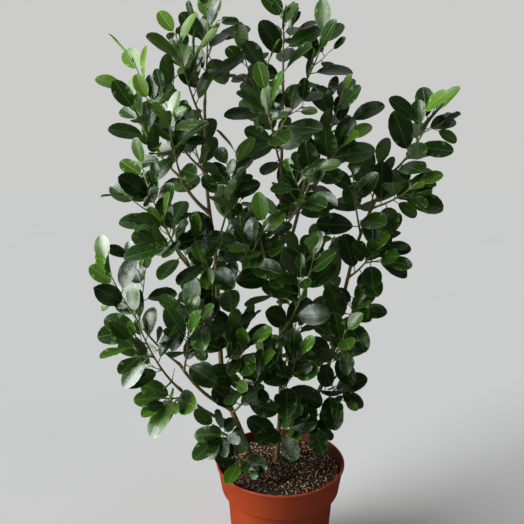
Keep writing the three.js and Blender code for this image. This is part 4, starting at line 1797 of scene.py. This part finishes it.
@dataclass(frozen=True)
class LimbDress:
    """How one kind of limb is made round: its sides, rings, relief, slot, ages and collar."""

    name: str
    sides: int
    step: float
    relief: float
    relief_scale: float
    slot: str
    age: Pair
    collar: float = 0.0

    FOOT = 169.0
    COLLAR_REACH = 4.0
    LEAST_RINGS = 4

    def build(self, limbs: Iterable[tuple[Limb, float]], finish: bpy.types.Material, kit: Kit) -> Piece:
        """Follows each limb in short steps and makes it round.

        Args:
            limbs: each limb with the radius of the limb that carries it.
            finish: the bark.
            kit: the trees and effects.

        Returns:
            The piece.
        """
        lines = Lines()
        for limb, carrier in limbs:
            start = limb.share_of(self.FOOT) if limb.curve.at(0.0)[2] < self.FOOT else 0.0
            count = max(self.LEAST_RINGS, round(limb.curve.length * (1 - start) / self.step))
            shares = [start + (1 - start) * k / count for k in range(count + 1)]
            swell = [math.exp(-max(0.0, share * limb.curve.length - carrier) / self.COLLAR_REACH) for share in shares]
            girths = [limb.radius_at(share) * (1 + self.collar * more) for share, more in zip(shares, swell)]
            ages = [self.age[0] + (self.age[1] - self.age[0]) * share for share in shares]
            lines.add([limb.curve.at(share) for share in shares], girths, ages)
        values = {"Relief depth": self.relief, "Relief scale": self.relief_scale, "Finish": finish}
        return kit.limb.apply(lines.build(self.name), Sides=self.sides, **values)


@dataclass
class Limbs:
    """Stems, boughs and green twigs with the bark's relief."""

    stems: LimbDress = LimbDress("stem_bark", 22, 2.4, 0.0009, 150.0, "bark", (1.0, 0.8))
    boughs: LimbDress = LimbDress("bough_bark", 16, 3.0, 0.0006, 180.0, "young_bark", (0.8, 0.62), 0.6)
    twigs: LimbDress = LimbDress("green_twigs", 8, 5.0, 0.0003, 260.0, "young_bark", (0.62, 0.0), 0.5)
    stem_radius: float = 3.0
    twig_radius: float = 1.0
    parent_share: float = 0.7

    def build(self, growth: Growth, kit: Kit) -> None:
        """Builds the three pieces, and ties them to the plant in place of its stems and boughs.

        Args:
            growth: the grown plant.
            kit: the trees and effects.
        """
        bark = BarkFinish().build(kit)
        young = BarkFinish("smooth_bark", depth=0.0003).build(kit)
        twigs = []
        for mass in growth.masses:
            twigs.append((mass.stem, mass.parent.base_radius * self.parent_share))
            twigs.extend((twig, self.twig_radius) for twig in mass.twigs + mass.fine_twigs)
        rows = ((self.stems, STEM_PLANS, 0.0, bark), (self.boughs, BOUGH_PLANS, self.stem_radius, young))
        for dress, plans, carrier, finish in rows:
            names = [plan.name for plan in plans]
            limbs = [(growth.limbs[name], carrier) for name in names]
            report(dress.build(limbs, finish, kit), dress.slot, names)
        report(self.twigs.build(twigs, young, kit), self.twigs.slot)


@dataclass(frozen=True)
class BladeForm:
    """One form of the leaf blade: how it folds, bends and waves, in shares of its length."""

    name: str
    fold: float
    recurve: float
    wave: float
    phase: float
    widest: float

    ROWS = (0.0, 0.07, 0.2, 0.36, 0.54, 0.72, 0.87, 0.965)
    UPPER_COLUMNS = (-1.0, -0.5, 0.0, 0.5, 1.0)
    UNDER_COLUMNS = (-1.0, 0.0, 1.0)
    HALF_WIDTH = 0.312
    TIP = 0.54
    NECK = 0.016
    THICKNESS = 0.0045
    WAVES = 1.6
    WAVE_END = 1.1
    SHARP = 60.0

    def half_width(self, along: float) -> float:
        """Finds the blade's half width.

        Args:
            along: the share of its length.

        Returns:
            The half width.
        """
        peak = self.widest / (self.widest + self.TIP)
        shape = (along**self.widest * (1 - along) ** self.TIP) / (peak**self.widest * (1 - peak) ** self.TIP)
        return max(self.NECK, self.HALF_WIDTH * shape)

    def lift(self, along: float, across: float) -> float:
        """Finds how high the blade lies above its plane.

        Args:
            along: the share of its length.
            across: the share of its half width, below zero on the left.

        Returns:
            The height.
        """
        aside = abs(across) * self.half_width(along)
        ripple = self.wave * math.sin(FULL_TURN * (self.WAVES * along + self.phase)) * across * abs(across)
        swell = math.sin(math.pi * min(1.0, along * self.WAVE_END))
        return self.fold * aside - self.recurve * along * along + ripple * swell

    def build(self) -> Piece:
        """Builds the blade as a thin closed body with its length along +Y and its face to +Z.

        Returns:
            The object, which isn't placed in the scene.
        """
        points: list[Triple] = []
        maps: list[Pair] = []
        rims: list[float] = []
        index: dict[tuple[bool, int, float], int] = {}

        def corner(below: bool, row: int, across: float) -> int:
            """Numbers a corner, which both sides share on the blade's edge.

            Args:
                below: whether it is on the underside.
                row: its row from the stalk, the last being the tip.
                across: the share of the half width.

            Returns:
                Its number.
            """
            last = row == len(self.ROWS)
            across = 0.0 if last else across
            on_edge = last or abs(across) == 1.0
            key = (below and not on_edge, row, across)
            if key not in index:
                along = 1.0 if last else self.ROWS[row]
                half = 0.0 if last else self.half_width(along)
                thick = 0.0 if on_edge else self.THICKNESS * (-1 if below else 1)
                points.append((across * half, along, self.lift(along, across) + thick))
                maps.append((0.5 + across * half, along))
                rims.append(1.0 if last else abs(across))
                index[key] = len(points) - 1
            return index[key]

        faces: list[tuple[int, ...]] = []
        sides: list[bool] = []
        for below, columns in ((False, self.UPPER_COLUMNS), (True, self.UNDER_COLUMNS)):
            for row in range(len(self.ROWS)):
                for left, right in zip(columns, columns[1:]):
                    places = ((row, left), (row, right), (row + 1, right), (row + 1, left))
                    ring = list(dict.fromkeys(corner(below, *place) for place in places))
                    faces.append(tuple(reversed(ring)) if below else tuple(ring))
                    sides.append(below)
        faces.append(tuple([corner(False, 0, across) for across in self.UPPER_COLUMNS] + [corner(True, 0, 0.0)]))
        piece = mesh_object(self.name, points, faces=faces)
        give(piece, "below", np.array(sides + [True]))
        give(piece, "rim", np.array(rims))
        flat = piece.data.uv_layers.new(name="UVMap")
        flat.data.foreach_set("uv", [n for loop in piece.data.loops for n in maps[loop.vertex_index]])
        return shade_smooth(piece, self.SHARP)


BLADES = (
    BladeForm("blade_a", 0.18, 0.06, 0.010, 0.0, 0.60),
    BladeForm("blade_b", 0.28, 0.09, 0.018, 0.35, 0.70),
    BladeForm("blade_c", 0.12, 0.03, 0.022, 0.6, 0.56),
    BladeForm("blade_d", 0.22, 0.12, 0.014, 0.15, 0.64),
)


@dataclass
class Leaves:
    """The leaf blades in three greens, their stalks, and the buds at the shoots' tips."""

    stalk: tuple[Pair, ...] = ((0.14, 0.6), (0.45, 0.42), (0.8, 0.18))
    stalk_root: Pair = (0.95, 0.7)
    stalk_sides: int = 5
    neck_sink: float = 0.2
    rib_sink: float = 0.3
    bud: tuple[Pair, ...] = ((0.0, 0.75), (0.18, 1.0), (0.45, 0.82), (0.75, 0.4), (1.0, 0.05))
    bud_sink: float = 1.0
    bud_size: Pair = (0.7, 1.2)
    bud_length: float = 9.0
    bud_radius: float = 1.15
    bud_sides: int = 7
    seed: int = 907

    def build(self, growth: Growth, kit: Kit) -> None:
        """Builds blades, stalks and buds, and ties them to the plant in place of its masses.

        Args:
            growth: the grown plant.
            kit: the trees and effects.
        """
        forms = bpy.data.collections.new("blade_forms")
        for form in BLADES:
            forms.objects.link(form.build())
        draw, stalks = Draw(self.seed), Lines()
        rows: dict[Tone, list[tuple]] = {tone: [] for tone in Tone}
        for leaf in (leaf for mass in growth.masses for leaf in mass.leaves):
            choice = int(draw.between(0, len(BLADES)))
            way, across, normal = leaf.ways
            turn = Matrix(np.stack([-across, way, normal], axis=1).tolist()).to_euler("XYZ")
            rows[leaf.tone].append((leaf.neck * MM, tuple(turn), leaf.length * MM, choice, draw.one()))
            self.add_stalk(stalks, leaf, BLADES[choice])
        made = [self.blades(tone, row, forms, kit) for tone, row in rows.items()]
        drop_forms(forms)
        stalk = StalkFinish().build(kit)
        made.append(kit.limb.apply(stalks.build("leaf_stalks"), Sides=self.stalk_sides, Finish=stalk))
        for piece in made + [self.buds(growth, kit)]:
            report(piece, "foliage", [mass.name for mass in growth.masses])

    def blades(self, tone: Tone, rows: Sequence[tuple], forms: bpy.types.Collection, kit: Kit) -> Piece:
        """Builds the blades of one green.

        Args:
            tone: the green.
            rows: place, turn, size, form and shade of each blade.
            forms: the forms of the blades.
            kit: the trees and effects.

        Returns:
            The piece.
        """
        places, turns, sizes, choices, shades = zip(*rows)
        piece = link(mesh_object(f"leaf_blades_{tone.value}", places))
        give(piece, "turn", np.array(turns))
        give(piece, "size", np.array(sizes))
        give(piece, "form", np.array(choices, dtype=np.int32))
        give(piece, "shade", np.array(shades))
        colours = [linear(*colour) for colour in GREENS[tone]]
        gloss = SOFTER if tone is Tone.YOUNG else GLOSSY
        finish = LeafFinish(f"leaf_{tone.value}", gloss, *colours[:4]).build(kit)
        under = UnderFinish(f"leaf_under_{tone.value}", *colours[4:]).build(kit)
        return kit.leaf.apply(piece, Forms=forms, Finish=finish, Under_finish=under)

    def add_stalk(self, lines: Lines, leaf: Leaf, form: BladeForm) -> None:
        """Adds a leaf's stalk, which runs on as the rib under its blade.

        Args:
            lines: the lines of all stalks.
            leaf: the leaf.
            form: the form of its blade.
        """
        way, _, normal = leaf.ways
        scale = math.sqrt(leaf.length / Leaf.USUAL_LENGTH)
        points = [leaf.root, leaf.neck - normal * self.neck_sink]
        for along, _ in self.stalk:
            sunk = form.lift(along, 0.0) * leaf.length - self.rib_sink * scale
            points.append(leaf.neck + way * (along * leaf.length) + normal * sunk)
        girths = [radius * scale for radius in self.stalk_root + tuple(radius for _, radius in self.stalk)]
        lines.add(points, girths, [0.0] * len(points))

    def buds(self, growth: Growth, kit: Kit) -> Piece:
        """Builds the pointed buds at the tips of shoots and twigs.

        Args:
            growth: the grown plant.
            kit: the trees and effects.

        Returns:
            The piece.
        """
        lines, draw = Lines(), Draw(self.seed + 1)
        for limb in (limb for mass in growth.masses for limb in [mass.stem] + mass.twigs):
            tip, (along, side, _) = limb.curve.at(1.0), limb.frame_at(1.0)
            length = self.bud_length * draw.between(*self.bud_size)
            aside = side * draw.between(-1.0, 1.0)
            points = [tip + along * (length * place - self.bud_sink) + aside * place**2 for place, _ in self.bud]
            lines.add(points, [self.bud_radius * width for _, width in self.bud], [0.0] * len(self.bud))
        finish = StalkFinish("tip_bud", linear(132, 158, 66), linear(104, 132, 54)).build(kit)
        return kit.limb.apply(lines.build("tip_buds"), Sides=self.bud_sides, Finish=finish)


@dataclass(frozen=True)
class FarLight:
    """A broad far light: its turn round the plant, height and breadth in degrees, its power and colour."""

    name: str
    turn: float
    height: float
    spread: float
    power: float
    colour: Triple

    DISTANCE = 3.0

    def build(self) -> None:
        """Puts the light in the scene."""
        data = bpy.data.lights.new(self.name, "SUN")
        data.energy, data.angle, data.color = self.power, math.radians(self.spread), self.colour
        light = link(bpy.data.objects.new(self.name, data))
        around, up = math.radians(self.turn), math.radians(self.height)
        place = Vector((math.cos(up) * math.cos(around), math.cos(up) * math.sin(around), math.sin(up)))
        light.location = place * self.DISTANCE
        light.rotation_euler = (-place).to_track_quat("-Z", "Y").to_euler()


@dataclass
class Studio:
    """The floor, the lights and the camera."""

    floor_reach: float = 40.0
    floor_sides: int = 48
    surround: float = 0.03
    backdrop: float = 0.604
    lights: tuple[FarLight, ...] = (
        FarLight("window", 194.0, 30.0, 44.0, 4.0, (0.97, 0.985, 1.0)),
        FarLight("front_fill", 300.0, 24.0, 60.0, 0.15, (1.0, 0.98, 0.95)),
        FarLight("top_fill", 80.0, 74.0, 70.0, 0.5, (1.0, 1.0, 1.0)),
    )
    pane_place: Triple = (-0.85, -0.3, 0.75)
    pane_size: Pair = (0.6, 0.9)
    pane_power: float = 14.0
    camera_place: Triple = (-0.0299, -0.7838, 0.6335)
    camera_drop: float = 8.74
    lens: float = 35.04
    sensor: float = 36.0

    def build(self, kit: Kit) -> None:
        """Sets the stage.

        Args:
            kit: the trees and effects.
        """
        self.add_floor(kit)
        for light in self.lights:
            light.build()
        self.add_pane()
        self.add_world()
        self.add_camera()

    def add_floor(self, kit: Kit) -> None:
        """Adds a wide floor, which the gloss of the plant doesn't show.

        Args:
            kit: the shared effects.
        """
        turns = [FULL_TURN * k / self.floor_sides for k in range(self.floor_sides)]
        points = [(self.floor_reach * math.cos(turn), self.floor_reach * math.sin(turn), 0.0) for turn in turns]
        floor = link(mesh_object("floor", points, faces=[range(self.floor_sides)]))
        floor.data.materials.append(StageFinish().build(kit))
        floor.visible_glossy = False

    def add_pane(self) -> None:
        """Adds a near window pane at the left, which lights the plant alone."""
        data = bpy.data.lights.new("pane", "AREA")
        data.shape, data.size, data.size_y = "RECTANGLE", *self.pane_size
        data.energy = self.pane_power
        pane = link(bpy.data.objects.new("pane", data))
        pane.location = self.pane_place
        pane.rotation_euler = Vector((*self.pane_place[:2], 0.0)).to_track_quat("Z", "Y").to_euler()
        pane.visible_camera = False
        lit = bpy.data.collections.new("lit_by_pane")
        for piece in bpy.context.scene.objects:
            if piece.type == "MESH" and piece.name != "floor":
                lit.objects.link(piece)
        pane.light_linking.receiver_collection = lit

    def add_world(self) -> None:
        """Adds an even pale surround, which lights the plant less than it shows."""
        world = bpy.data.worlds.new("surround")
        world.use_nodes = True
        nodes = Nodes(world.node_tree)
        back = next(node for node in world.node_tree.nodes if node.type == "BACKGROUND")
        back.inputs["Color"].default_value = (1.0, 1.0, 0.985, 1.0)
        seen = nodes.node("ShaderNodeLightPath").outputs["Is Camera Ray"]
        strength = nodes.times(seen, self.backdrop - self.surround, self.surround)
        nodes.tree.links.new(strength, back.inputs["Strength"])
        bpy.context.scene.world = world
        bpy.context.scene.view_settings.view_transform = "Standard"

    def add_camera(self) -> None:
        """Adds the camera at the photograph's viewing angle."""
        data = bpy.data.cameras.new("camera")
        data.sensor_width, data.lens = self.sensor, self.lens
        camera = link(bpy.data.objects.new("camera", data))
        camera.location = self.camera_place
        camera.rotation_euler = (math.radians(90 - self.camera_drop), 0.0, 0.0)
        bpy.context.scene.camera = camera


def main() -> None:
    """Builds and dresses the plant, piece by piece."""
    logging.basicConfig(level=logging.INFO, format="%(name)s: %(message)s")
    kit, pot, growth = Kit(), Pot(), Growth()
    growth.grow()
    pot.build(kit)
    Ground().build(pot, kit)
    Limbs().build(growth, kit)
    Leaves().build(growth, kit)
    Studio().build(kit)


if __name__ == "__main__":
    main()
